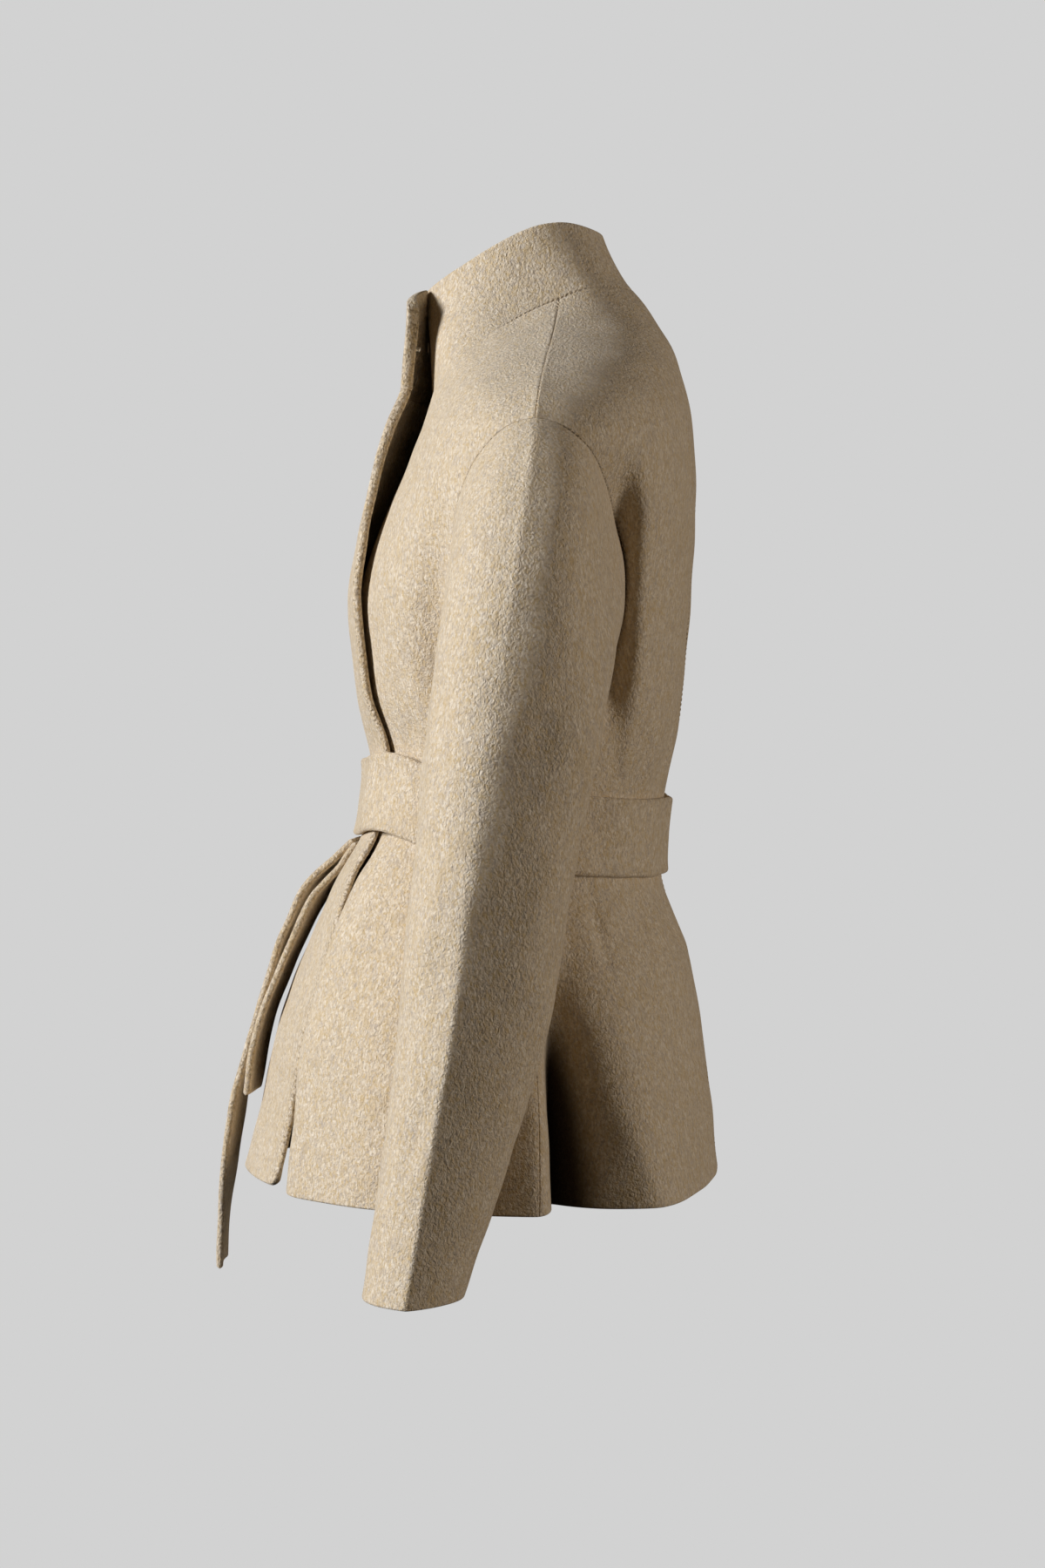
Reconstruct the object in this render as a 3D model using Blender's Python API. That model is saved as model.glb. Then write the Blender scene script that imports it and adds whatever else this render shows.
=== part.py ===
"""A short belted wool coat, empty: two fronts, two backs, sleeves, stand collar, tied belt and snap."""

import math
from collections import namedtuple

import bpy
import numpy as np

# Frame: metres, the wearer faces -Y with their left at +X, and the origin is at the base of the neck.

# Cloth and seams
CLOTH = 0.003
EDGE_ROLL = 0.0048
EDGE_ROLL_REACH = 0.014
SEAM_GAP = 0.0003
ARMHOLE_GAP = 0.0007
LAYER = 0.0046
LAYER_FADE = 0.10
STEP = 0.0005

# Body, from the hem up: half the width, the y of the widest point, of centre front and of centre back,
# and how square the front half is (2 is an ellipse)
Section = namedtuple("Section", "height half_width side_y front_y back_y square")
BODY = [
    Section(-0.597, 0.2010, 0.0200, -0.1990, 0.1350, 2.00),
    Section(-0.540, 0.1900, 0.0170, -0.1840, 0.1295, 2.20),
    Section(-0.490, 0.1770, 0.0130, -0.1690, 0.1225, 2.40),
    Section(-0.440, 0.1610, 0.0090, -0.1460, 0.1135, 2.50),
    Section(-0.405, 0.1460, 0.0060, -0.1240, 0.1020, 2.55),
    Section(-0.378, 0.1365, 0.0040, -0.1040, 0.0955, 2.30),
    Section(-0.352, 0.1355, 0.0040, -0.0990, 0.0950, 2.15),
    Section(-0.326, 0.1375, 0.0040, -0.0985, 0.0975, 2.05),
    Section(-0.280, 0.1600, 0.0090, -0.1065, 0.1080, 2.00),
    Section(-0.240, 0.1750, 0.0120, -0.1095, 0.1125, 2.00),
    Section(-0.200, 0.1880, 0.0150, -0.1105, 0.1155, 2.00),
    Section(-0.160, 0.2005, 0.0180, -0.0980, 0.1180, 2.00),
    Section(-0.120, 0.2105, 0.0210, -0.0805, 0.1190, 2.00),
    Section(-0.105, 0.2090, 0.0220, -0.0745, 0.1182, 2.00),
    Section(-0.090, 0.2040, 0.0230, -0.0685, 0.1170, 2.00),
    Section(-0.080, 0.1955, 0.0235, -0.0652, 0.1157, 2.00),
    Section(-0.070, 0.1830, 0.0240, -0.0620, 0.1140, 2.00),
    Section(-0.050, 0.1460, 0.0255, -0.0570, 0.1090, 2.00),
    Section(-0.030, 0.1030, 0.0275, -0.0530, 0.1015, 2.00),
    Section(-0.014, 0.0760, 0.0285, -0.0490, 0.0915, 2.00),
    Section(0.000, 0.0610, 0.0290, -0.0450, 0.0815, 2.00),
    Section(0.012, 0.0560, 0.0290, -0.0420, 0.0715, 2.00),
]
HEM = BODY[0].height

# The body's rings tilt with the belt near the waist, and rise with it at the left front
WAIST = -0.352
BELT_SLOPE = math.tan(math.radians(7.5))
TILT_REACH = 0.085
BELT_RISE = 0.012
BELT_RISE_TURN = 42.0
BELT_RISE_REACH = 22.0

# Armhole oval, seen from the side
ARMHOLE_Y = 0.0225
ARMHOLE_HEIGHT = -0.1875
ARMHOLE_HALF_DEPTH = 0.058
ARMHOLE_HALF_HEIGHT = 0.0975

# Side seam and neckline
SIDE_TURN_HEM = math.radians(92.5)
SHOULDER_TURN = math.radians(90.0)
NECK_BACK = 0.008
NECK_DROP = 0.074
NECK_POWER = 2.9

# Front edges, from the hem up: how far past centre front, how far the over-front's edge stands off,
# and how far the under-front runs in beneath it from which side place on
Edge = namedtuple("Edge", "height overlap lift recess recess_from")
EDGES = [
    Edge(-0.597, 0.090, -0.0146, 0.052, 0.140),
    Edge(-0.540, 0.090, -0.0200, 0.052, 0.134),
    Edge(-0.490, 0.089, -0.0190, 0.046, 0.125),
    Edge(-0.440, 0.087, -0.0140, 0.046, 0.112),
    Edge(-0.405, 0.085, -0.0050, 0.024, 0.104),
    Edge(-0.378, 0.083, 0.0016, 0.000, 0.100),
    Edge(-0.326, 0.083, 0.0016, 0.000, 0.100),
    Edge(-0.300, 0.083, 0.0030, 0.000, 0.100),
    Edge(-0.240, 0.085, 0.0040, 0.000, 0.100),
    Edge(-0.190, 0.085, 0.0055, 0.000, 0.100),
    Edge(-0.144, 0.080, 0.0125, 0.000, 0.100),
    Edge(-0.100, 0.068, 0.0190, 0.000, 0.100),
    Edge(-0.060, 0.052, 0.0170, 0.000, 0.100),
    Edge(0.010, 0.046, 0.0170, 0.000, 0.100),
]
RECESS_TO = 0.050
LIFT_FROM = math.radians(-18.0)
OVER_FROM = math.radians(-80.0)
OVER_FULL = math.radians(-48.0)

# Skirt folds: turn at the belt and at the hem, half-width on either side, and depth at the hem
Fold = namedtuple("Fold", "turn_top turn_hem before after depth")
SKIRT_FOLDS = [
    Fold(101.0, 103.0, 5.5, 14.0, -0.0500),
    Fold(104.0, 131.0, 7.0, 18.0, 0.0100),
    Fold(255.0, 229.0, 18.0, 8.0, 0.0090),
    Fold(260.0, 257.0, 13.0, 5.5, -0.0400),
    Fold(66.0, 62.0, 9.0, 9.0, 0.0040),
    Fold(294.0, 299.0, 9.0, 9.0, 0.0045),
]
FOLD_TOP = -0.384
FOLD_RISE_LOW = 3.0
FOLD_RISE_HIGH = 2.0

# The back runs in behind each sleeve
HOLLOW_TURN = 125.0
HOLLOW_BEFORE = 18.0
HOLLOW_AFTER = 8.0
HOLLOW_IN = 0.034
HOLLOW_FORWARD = 0.20
HOLLOW_LOW = -0.322
HOLLOW_HIGH = -0.092
HOLLOW_RISE = 0.090
HOLLOW_FADE = 0.065

# Bodice folds at the front armholes: turn and height at each end, half-width and depth
Crease = namedtuple("Crease", "turn_low low turn_high high reach depth")
BODICE_FOLDS = [
    Crease(64.0, -0.320, 56.0, -0.110, 7.0, -0.0110),
    Crease(296.0, -0.320, 304.0, -0.110, 7.0, -0.0100),
]

# Collar: the ring of its top edge, rounded off at the back and falling to the front
COLLAR_TOP = 0.0535
COLLAR_FALL = 0.57
COLLAR_FALL_Y = 0.014
COLLAR_FALL_SOFT = 0.020
COLLAR_HALF_WIDTH = 0.0510
COLLAR_SIDE_Y = 0.0020
COLLAR_FRONT_Y = -0.0660
COLLAR_BACK_Y = 0.0545
COLLAR_BACK_FROM = 0.026
COLLAR_BACK_FALL = 0.006
COLLAR_BELLY = 0.50
COLLAR_BELLY_RISE = -0.20
COLLAR_LIFT = 0.0257
COLLAR_LIFT_FROM = 0.0
COLLAR_END_TURN = math.radians(40.0)

# Left sleeve below the armhole: centre, half-sizes, and how far forward the outer crease sits
Arm = namedtuple("Arm", "height centre_x centre_y half_out half_in half_depth crease")
SLEEVE = [
    Arm(-0.637, 0.2670, -0.0500, 0.0440, 0.0480, 0.0320, 0.000),
    Arm(-0.584, 0.2630, -0.0370, 0.0465, 0.0580, 0.0367, 0.004),
    Arm(-0.540, 0.2600, -0.0270, 0.0485, 0.0645, 0.0407, 0.007),
    Arm(-0.480, 0.2555, -0.0145, 0.0510, 0.0750, 0.0464, 0.009),
    Arm(-0.405, 0.2490, -0.0050, 0.0535, 0.0940, 0.0500, 0.009),
    Arm(-0.350, 0.2430, 0.0020, 0.0555, 0.0925, 0.0515, 0.009),
    Arm(-0.300, 0.2365, 0.0090, 0.0565, 0.0770, 0.0555, 0.009),
]
SLEEVE_END = SLEEVE[0].height
CAP_END = SLEEVE[-1].height
CREASE_POWER = 1.40
CAP_SLOPE_TOP = math.radians(34.0)
CAP_SLOPE_LOW = math.radians(12.0)
CAP_START = 0.95
CAP_FINISH = 0.95
ARM_LEAN = (0.13, -0.14, -1.0)

# Belt, knot and tails
BELT_HALF = 0.026
BELT_THICK = 0.0048
BELT_EASE = 0.0005
BELT_STEP_PAST = 0.05
BELT_STEP_REACH = 0.50
KNOT_X = -0.052
KNOT_HALF_WIDTH = 0.021
KNOT_RISE = 0.004
KNOT_TOP = -0.003
KNOT_BULGE = 0.0040
KNOT_THICK = 0.0048
KNOT_EASE = 0.0012
KNOT_PINCH = 0.14
KNOT_ROUND = 0.35
KNOT_FULLNESS = 0.6
TAIL_HALF = 0.0235
TAIL_THICK = 0.0048

# Tail routes, from the knot down: side place, depth place, height, turn of the ribbon about its length
Route = namedtuple("Route", "x y z turn")
LONG_TAIL = [
    Route(-0.052, -0.1196, -0.3694, -9.0),
    Route(-0.052, -0.1258, -0.3754, -9.0),
    Route(-0.051, -0.1352, -0.3836, -9.0),
    Route(-0.050, -0.1475, -0.3955, -8.0),
    Route(-0.048, -0.1580, -0.4100, -7.0),
    Route(-0.047, -0.1660, -0.4270, -6.0),
    Route(-0.046, -0.1755, -0.4500, -4.0),
    Route(-0.044, -0.1920, -0.4980, -3.0),
    Route(-0.042, -0.2045, -0.5460, -3.0),
    Route(-0.040, -0.2125, -0.5950, 0.0),
    Route(-0.039, -0.2172, -0.6420, 3.0),
    Route(-0.038, -0.2180, -0.6720, 4.0),
]
SHORT_TAIL = [
    Route(-0.040, -0.1164, -0.3709, -9.0),
    Route(-0.040, -0.1225, -0.3789, -8.0),
    Route(-0.037, -0.1287, -0.3869, -7.0),
    Route(-0.032, -0.1385, -0.3985, -6.0),
    Route(-0.026, -0.1490, -0.4130, -5.0),
    Route(-0.020, -0.1670, -0.4517, -4.0),
    Route(-0.016, -0.1845, -0.5000, -4.0),
    Route(-0.014, -0.1935, -0.5460, -4.0),
]

# Snap at the neck
SNAP_FROM_EDGE = 0.0062
SNAP_RISE = 0.54
SNAP_DISC = 0.0042
SNAP_DISC_THICK = 0.0010
SNAP_NECK = 0.0014
SNAP_NECK_FOOT = 0.0013
SNAP_NECK_TOP = 0.0019
SNAP_BALL = 0.0020
SNAP_BALL_WIDEST = 0.0028
SNAP_CROWN = 0.0013
SNAP_CROWN_LOW = 0.0037
SNAP_TOP = 0.0040
SNAP_EASE = 0.0006
SNAP_STUD_EASE = 0.0009
SNAP_SEGMENTS = 16

# Shares and lengths that set the wall and the rows
NECK_BEND = 0.62
FRONT_WIDTH = 0.27
COLLAR_LENGTH = 0.48

# Mesh density; the side seam's rows pass through the belt's own rows
SEAM_LEVELS = (-0.597, -0.570, -0.542, -0.516, -0.490, -0.466, -0.442, -0.420, -0.400,
               -0.378, -0.352, -0.326, -0.305, -0.285)
SEAM_ROWS = len(SEAM_LEVELS)
SHOULDER_ROWS = 5
OVER_COLUMNS = 17
UNDER_COLUMNS = 15
BACK_COLUMNS = 18
SLEEVE_COLUMNS = 24
ARMHOLE_ROWS = SLEEVE_COLUMNS // 2
CAP_ROWS = 8
ARM_ROWS = 10
COLLAR_ROWS = 5
BELT_COLUMNS = 56
KNOT_COLUMNS = 7
KNOT_ROWS = 11
TAIL_COLUMNS = 4
TAIL_ROWS = 20
CROWDING = 1.35
NECK_PASSES = 6
HOLE_SHARE = 0.82


def smooth(value):
    """Zero below 0, one above 1 and a soft S between."""
    u = np.clip(value, 0.0, 1.0)
    return u * u * (3.0 - 2.0 * u)


def through(key, value, at):
    """A smooth curve through values at rising keys."""
    slope = np.gradient(value, key)
    at = np.clip(np.asarray(at, float), key[0], key[-1])
    i = np.clip(np.searchsorted(key, at) - 1, 0, len(key) - 2)
    span = key[i + 1] - key[i]
    u = (at - key[i]) / span
    rise = (1 + 2 * u) * (1 - u) ** 2 * value[i] + u * u * (3 - 2 * u) * value[i + 1]
    lean = u * (1 - u) ** 2 * slope[i] + u * u * (u - 1) * slope[i + 1]
    return rise + span * lean


def along(table, column, at):
    """A table's column at any height."""
    key = np.array([row.height for row in table])
    return through(key, np.array([getattr(row, column) for row in table]), at)


def unit(vectors):
    """Vectors of length one."""
    return vectors / np.linalg.norm(vectors, axis=-1, keepdims=True)


def bump(offset, reach):
    """A soft hill of height one."""
    return np.exp(-((offset / reach) ** 2))


def fold_push(turn, height):
    """How far the folds push the cloth out at a turn from centre front."""
    degrees = np.degrees(turn) % 360.0
    push = np.zeros(np.broadcast(degrees, height).shape)
    down = (FOLD_TOP - height) / (FOLD_TOP - HEM)
    for fold in SKIRT_FOLDS:
        centre = fold.turn_top + (fold.turn_hem - fold.turn_top) * np.clip(down, 0.0, 1.0)
        off = degrees - centre
        push = push + fold.depth * smooth(down) * bump(off, np.where(off < 0.0, fold.before, fold.after))
    for fold in BODICE_FOLDS:
        up = (height - fold.low) / (fold.high - fold.low)
        centre = fold.turn_low + (fold.turn_high - fold.turn_low) * np.clip(up, 0.0, 1.0)
        swell = smooth(up * FOLD_RISE_LOW) * smooth((1.0 - up) * FOLD_RISE_HIGH)
        push = push + fold.depth * swell * bump(degrees - centre, fold.reach)
    return push


def back_hollow(turn, height):
    """How far the back runs in behind each sleeve, between the belt and the shoulder."""
    off = np.degrees(np.arccos(np.cos(turn))) - HOLLOW_TURN
    share = smooth((height - HOLLOW_LOW) / HOLLOW_RISE) * smooth((HOLLOW_HIGH - height) / HOLLOW_FADE)
    return HOLLOW_IN * share * bump(off, np.where(off < 0.0, HOLLOW_BEFORE, HOLLOW_AFTER))


def tilt(turn, y, height):
    """A ring point's real height: near the waist rings slope with the belt, and rise at the left front."""
    off = np.degrees(np.arctan2(np.sin(turn), np.cos(turn))) - BELT_RISE_TURN
    move = BELT_RISE * bump(off, BELT_RISE_REACH) - BELT_SLOPE * y
    return height + move * bump(height - WAIST, TILT_REACH)


def body(turn, height, out=0.0):
    """The coat's outer face: a squarish ellipse at each height, its folds, and a push outward."""
    half_width = along(BODY, "half_width", height)
    side_y = along(BODY, "side_y", height)
    ahead = side_y - along(BODY, "front_y", height)
    behind = along(BODY, "back_y", height) - side_y
    sine, cosine = np.sin(turn), np.cos(turn)
    front = cosine > 0
    depth = np.where(front, ahead, behind)
    power = np.where(front, 2.0 / along(BODY, "square", height), 1.0)
    facing = np.stack([np.sign(sine) * np.abs(sine) ** (2.0 - power) / half_width,
                       -np.sign(cosine) * np.abs(cosine) ** (2.0 - power) / depth], -1)
    facing = unit(facing)
    push = fold_push(turn, height) + out
    hollow = back_hollow(turn, height)
    x = half_width * np.sign(sine) * np.abs(sine) ** power + push * facing[..., 0] - np.sign(sine) * hollow
    y = side_y - depth * np.sign(cosine) * np.abs(cosine) ** power + push * facing[..., 1]
    y = y - HOLLOW_FORWARD * hollow
    return np.stack([x, y, tilt(turn, y, height)], -1)


def over_push(turn, height):
    """The right front's place above the left one: the layer it lies on, nothing at the side seam and hem."""
    share = smooth((turn - OVER_FROM) / (OVER_FULL - OVER_FROM))
    return LAYER * share * smooth((height - HEM) / LAYER_FADE)


def over_front(turn, height):
    """The right front: on top of the left one, its edge standing off."""
    points = body(turn, height, over_push(turn, height))
    edge = edge_turn(height)
    share = smooth((turn - LIFT_FROM) / (edge - LIFT_FROM))
    points[..., 1] -= along(EDGES, "lift", height) * share
    return points


def under_front(turn, height):
    """The left front: below the belt it runs further in under the right one."""
    points = body(turn, height)
    start = along(EDGES, "recess_from", height)
    share = smooth((start - points[..., 0]) / (start - RECESS_TO))
    points[..., 1] += np.maximum(along(EDGES, "recess", height), 0.0) * share
    return points


def edge_turn(height):
    """The turn of the over-front's edge past centre front."""
    share = along(EDGES, "overlap", height) / along(BODY, "half_width", height)
    return np.arcsin(share ** (along(BODY, "square", height) / 2.0))


def neck_height(turn):
    """The neckline: high at the back, low at the front."""
    return NECK_BACK - NECK_DROP * ((1.0 + np.cos(turn)) / 2.0) ** NECK_POWER


def armhole_turn(angle):
    """Turn and height of the left armhole's oval: 0 at its back, a quarter up at the shoulder."""
    height = ARMHOLE_HEIGHT + ARMHOLE_HALF_HEIGHT * np.sin(angle)
    y = ARMHOLE_Y + ARMHOLE_HALF_DEPTH * np.cos(angle)
    side_y = along(BODY, "side_y", height)
    ahead = side_y - along(BODY, "front_y", height)
    behind = along(BODY, "back_y", height) - side_y
    cosine = np.where(y < side_y, (side_y - y) / ahead, (side_y - y) / behind)
    return np.arccos(cosine), height


def neck_centre_height(centre):
    """The neckline's height at a panel's centre edge, whose turn depends on it."""
    height = np.array(NECK_BACK - NECK_DROP)
    for _ in range(NECK_PASSES):
        height = neck_height(centre(height))
    return float(height)


def panel_grid(share, centre, front):
    """Turn and height over one left panel: from its centre edge to its side seam, armhole and shoulder."""
    under_turn, under_height = armhole_turn(np.array(-math.pi / 2))
    seam_height = np.array(SEAM_LEVELS)
    up = (seam_height - HEM) / (under_height - HEM)
    seam_turn = SIDE_TURN_HEM + (under_turn - SIDE_TURN_HEM) * up
    sweep = np.linspace(0.0, math.pi, ARMHOLE_ROWS + 1)[1:]
    hole_turn, hole_height = armhole_turn(-math.pi / 2 + (-sweep if front else sweep))
    neck_side = float(neck_height(np.array(SHOULDER_TURN)))
    climb = np.linspace(0.0, 1.0, SHOULDER_ROWS + 1)[1:]
    top_height = hole_height[-1] + (neck_side - hole_height[-1]) * climb
    top_turn = hole_turn[-1] + (SHOULDER_TURN - hole_turn[-1]) * climb
    side_turn = np.concatenate([seam_turn, hole_turn, top_turn])
    side_height = np.concatenate([seam_height, hole_height, top_height])

    inset = (-1.0 if front else 1.0) * SEAM_GAP / 2
    radius = along(BODY, "half_width", side_height)
    depth = along(BODY, "back_y", side_height) - along(BODY, "side_y", side_height)
    side_turn[:SEAM_ROWS] += inset / depth[:SEAM_ROWS]
    side_turn[-SHOULDER_ROWS - 1:] += inset / depth[-SHOULDER_ROWS - 1:]

    neck_centre = neck_centre_height(centre)
    rise = np.concatenate([HOLE_SHARE * sweep / math.pi, HOLE_SHARE + (1.0 - HOLE_SHARE) * climb])
    centre_height = np.concatenate([seam_height, under_height + (neck_centre - under_height) * rise])
    centre_turn = centre(centre_height)
    if not front:
        centre_turn = centre_turn - SEAM_GAP / 2 / radius
    turn = centre_turn[:, None] + (side_turn - centre_turn)[:, None] * share
    height = centre_height[:, None] + (side_height - centre_height)[:, None] * share
    bend = smooth((np.linspace(0.0, 1.0, len(side_height)) - NECK_BEND) / (1.0 - NECK_BEND))[:, None]
    straight = neck_centre + (neck_side - neck_centre) * share
    height = height + bend * (neck_height(turn[-1:, :]) - straight)
    height[-1, :] -= SEAM_GAP / 2
    return turn, height


def crowd(columns):
    """Column shares bunched toward the centre edge, so a rolled edge has points to turn on."""
    return np.linspace(0.0, 1.0, columns) ** CROWDING


def outward(surface, turn, height):
    """The outward direction of a surface given by turn and height."""
    across = surface(turn + STEP, height) - surface(turn - STEP, height)
    upward = surface(turn, height + STEP) - surface(turn, height - STEP)
    return unit(np.cross(across, upward))


def cloth_faces(rows, columns, ring):
    """Quads of a closed wall between two grids of points."""
    count = rows * columns
    wrap = columns if ring else columns - 1
    faces = []
    for r in range(rows - 1):
        for c in range(wrap):
            a, b = r * columns + c, r * columns + (c + 1) % columns
            d, e = a + columns, b + columns
            faces.append((a, b, e, d))
            faces.append((count + a, count + d, count + e, count + b))
    for c in range(wrap):
        a, b = c, (c + 1) % columns
        faces.append((a, count + a, count + b, b))
        top = (rows - 1) * columns
        faces.append((top + a, top + b, count + top + b, count + top + a))
    if not ring:
        for r in range(rows - 1):
            a, d = r * columns, (r + 1) * columns
            faces.append((a, d, count + d, count + a))
            b, e = a + columns - 1, d + columns - 1
            faces.append((b, count + b, count + e, e))
    return faces


def add_solid(name, points, faces, material):
    """One named object from points and faces, turned so that its faces look out."""
    mesh = bpy.data.meshes.new(name)
    mesh.from_pydata(points.tolist(), [], faces)
    corner = [points[[f[0] for f in faces]], points[[f[1] for f in faces]],
              points[[f[2] for f in faces]], points[[f[3 % len(f)] for f in faces]]]
    volume = np.einsum("ij,ij->i", corner[0], np.cross(corner[1], corner[2])).sum()
    volume += np.einsum("ij,ij->i", corner[0], np.cross(corner[2], corner[3])).sum()
    if volume < 0:
        mesh.flip_normals()
    mesh.update()
    mesh.materials.append(material)
    thing = bpy.data.objects.new(name, mesh)
    bpy.context.scene.collection.objects.link(thing)
    return thing


def add_cloth(name, outer, inner, material, ring=False):
    """A cloth wall between an outer and an inner grid."""
    rows, columns = outer.shape[:2]
    points = np.concatenate([outer.reshape(-1, 3), inner.reshape(-1, 3)])
    return add_solid(name, points, cloth_faces(rows, columns, ring), material)


def add_panel(name, surface, turn, height, wall, material):
    """A panel of the coat's body: its outer face, and its inner face a wall further in."""
    outer = surface(turn, height)
    inner = outer - outward(surface, turn, height) * np.broadcast_to(wall, turn.shape)[..., None]
    return add_cloth(name, outer, inner, material)


def collar_top(turn, out):
    """The ring of the collar's top edge."""
    sine, cosine = np.sin(turn), np.cos(turn)
    reach = np.where(cosine > 0, COLLAR_SIDE_Y - COLLAR_FRONT_Y, COLLAR_BACK_Y - COLLAR_SIDE_Y)
    facing = unit(np.stack([sine / COLLAR_HALF_WIDTH, -cosine / reach], -1))
    x = COLLAR_HALF_WIDTH * sine + out * facing[..., 0]
    y = COLLAR_SIDE_Y - reach * cosine + out * facing[..., 1]
    ahead = COLLAR_FALL_Y - y
    fall = COLLAR_FALL * (ahead + np.sqrt(ahead ** 2 + COLLAR_FALL_SOFT ** 2)) / 2.0
    behind = np.maximum(y - COLLAR_BACK_FROM, 0.0) / (COLLAR_BACK_Y - COLLAR_BACK_FROM)
    fall = fall + COLLAR_BACK_FALL * behind ** 2
    return np.stack([x, y, COLLAR_TOP - fall], -1)


def collar(turn, rise):
    """The collar from its neck seam up to its top edge; turns past half a circle are the over end."""
    over = turn > math.pi
    around = np.where(over, turn - 2 * math.pi, turn)
    seam = neck_height(around) + SEAM_GAP / 2
    low = np.where(over[..., None], over_front(around, seam), under_front(around, seam))
    end = edge_turn(neck_centre_height(edge_turn))
    spread = (math.pi + COLLAR_END_TURN) / (math.pi + end)
    share = smooth((around - COLLAR_LIFT_FROM) / (end - COLLAR_LIFT_FROM))
    out = np.where(over, over_push(around, seam) + COLLAR_LIFT * share, 0.0)
    high = collar_top(math.pi + (turn - math.pi) * spread, out)
    middle = low + (high - low) * COLLAR_BELLY
    middle[..., 2] += (high - low)[..., 2] * COLLAR_BELLY_RISE
    u = rise[..., None]
    return low * (1 - u) ** 2 + 2 * middle * u * (1 - u) + high * u * u


def build_collar(material):
    """The collar: a band from the under end round the back to the over end."""
    end = float(edge_turn(neck_centre_height(edge_turn)))
    front = -end + (SHOULDER_TURN + end) * crowd(UNDER_COLUMNS)
    back = np.linspace(SHOULDER_TURN, math.pi, BACK_COLUMNS)[1:]
    over = -end + (SHOULDER_TURN + end) * crowd(OVER_COLUMNS)
    far = 2 * math.pi - np.concatenate([over, back[:-1]])
    turn = np.concatenate([front, back, far[::-1]])
    turn = np.sort(turn)[None, :]
    rise = np.linspace(0.0, 1.0, COLLAR_ROWS)[:, None]
    turn, rise = np.broadcast_arrays(turn, rise)
    outer = collar(turn, rise)
    facing = outward(collar, turn, rise)
    over = turn[0] > math.pi
    around = np.where(over, turn[0] - 2 * math.pi, turn[0])
    seam = neck_height(around)
    facing[0] = np.where(over[:, None], outward(over_front, around, seam), outward(under_front, around, seam))
    span = COLLAR_LENGTH * (turn + end) / (2 * math.pi + 2 * end)
    near = np.minimum(span, COLLAR_LENGTH - span)
    inner = outer - facing * rolled(near)[..., None]
    return add_cloth("collar", outer, inner, material)


def sleeve_ring(angle, height):
    """The left sleeve's ring below the armhole: 0 at the outer crease, a quarter at the front."""
    sine, cosine = np.sin(angle), np.cos(angle)
    power = np.where(cosine > 0, CREASE_POWER, 1.0)
    ahead = np.clip(cosine, 0.0, 1.0) ** 2 * along(SLEEVE, "crease", height)
    ahead = ahead + along(SLEEVE, "half_depth", height) * np.sign(sine) * np.abs(sine) ** power
    half = np.where(cosine > 0, along(SLEEVE, "half_out", height), along(SLEEVE, "half_in", height))
    x = along(SLEEVE, "centre_x", height) + half * cosine
    y = along(SLEEVE, "centre_y", height) - ahead
    return np.stack([x, y, height + 0.0 * x], -1)


def sleeve(angle, length):
    """The left sleeve: length 0 at the armhole seam, 1 at the end of the cap, 2 at the cuff."""
    turn, height = armhole_turn(angle + math.pi / 2)
    start = body(turn, height)
    low = np.minimum(CAP_END, CAP_END + (SLEEVE_END - CAP_END) * (length - 1.0))
    finish = sleeve_ring(angle, low)
    share = (1.0 - np.cos(angle)) / 2.0
    slope = CAP_SLOPE_TOP + (CAP_SLOPE_LOW - CAP_SLOPE_TOP) * share
    leave = np.stack([np.cos(slope), 0.0 * slope, -np.sin(slope)], -1)
    arrive = unit(np.array(ARM_LEAN))
    chord = np.linalg.norm(finish - start, axis=-1, keepdims=True)
    u = np.clip(length, 0.0, 1.0)[..., None]
    cap = (1 + 2 * u) * (1 - u) ** 2 * start + u * u * (3 - 2 * u) * finish
    cap = cap + chord * (u * (1 - u) ** 2 * CAP_START * leave + u * u * (u - 1) * CAP_FINISH * arrive)
    return np.where((length > 1.0)[..., None], finish, cap)


def build_sleeve(name, side, material):
    """A sleeve on the left (1) or the right (-1): a ring grid with the wall inside it."""
    angle = np.linspace(0.0, 2 * math.pi, SLEEVE_COLUMNS, endpoint=False)[None, :]
    cap = np.linspace(0.0, 1.0, CAP_ROWS + 1)
    length = np.concatenate([cap, 1.0 + np.linspace(0.0, 1.0, ARM_ROWS + 1)[1:]])[:, None]
    angle, length = np.broadcast_arrays(angle, length)
    outer = sleeve(angle, length)
    across = sleeve(angle + STEP, length) - sleeve(angle - STEP, length)
    onward = sleeve(angle, np.minimum(length + STEP, 2.0)) - sleeve(angle, np.maximum(length - STEP, 0.0))
    facing = unit(np.cross(across, onward))
    turn, height = armhole_turn(angle[0] + math.pi / 2)
    facing[0] = outward(body, turn, height)
    outer[0] += ARMHOLE_GAP * unit(np.cross(facing[0], across[0]))
    inner = outer - CLOTH * facing
    mirror = np.array([side, 1.0, 1.0])
    return add_cloth(name, outer * mirror, inner * mirror, material, ring=True)


def build_belt(material):
    """The belt round the waist, over both fronts where they lap."""
    turn = np.linspace(-math.pi, math.pi, BELT_COLUMNS, endpoint=False)[None, :]
    height = np.array([WAIST - BELT_HALF, WAIST, WAIST + BELT_HALF])[:, None]
    turn, height = np.broadcast_arrays(turn, height)
    inner = belt_face(turn, height, 0.0)
    outer = belt_face(turn, height, BELT_THICK)
    return add_cloth("belt_band", outer, inner, material, ring=True)


def belt_face(turn, height, out):
    """A ring of the belt, eased off the coat by a hair and pushed out further if asked."""
    edge = edge_turn(height)
    rising = smooth((turn - OVER_FROM) / (OVER_FULL - OVER_FROM))
    falling = 1.0 - smooth((turn - edge - BELT_STEP_PAST) / BELT_STEP_REACH)
    lifted = (LAYER + along(EDGES, "lift", height)) * rising * falling
    return body(turn, height, lifted + BELT_EASE + out)


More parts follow.
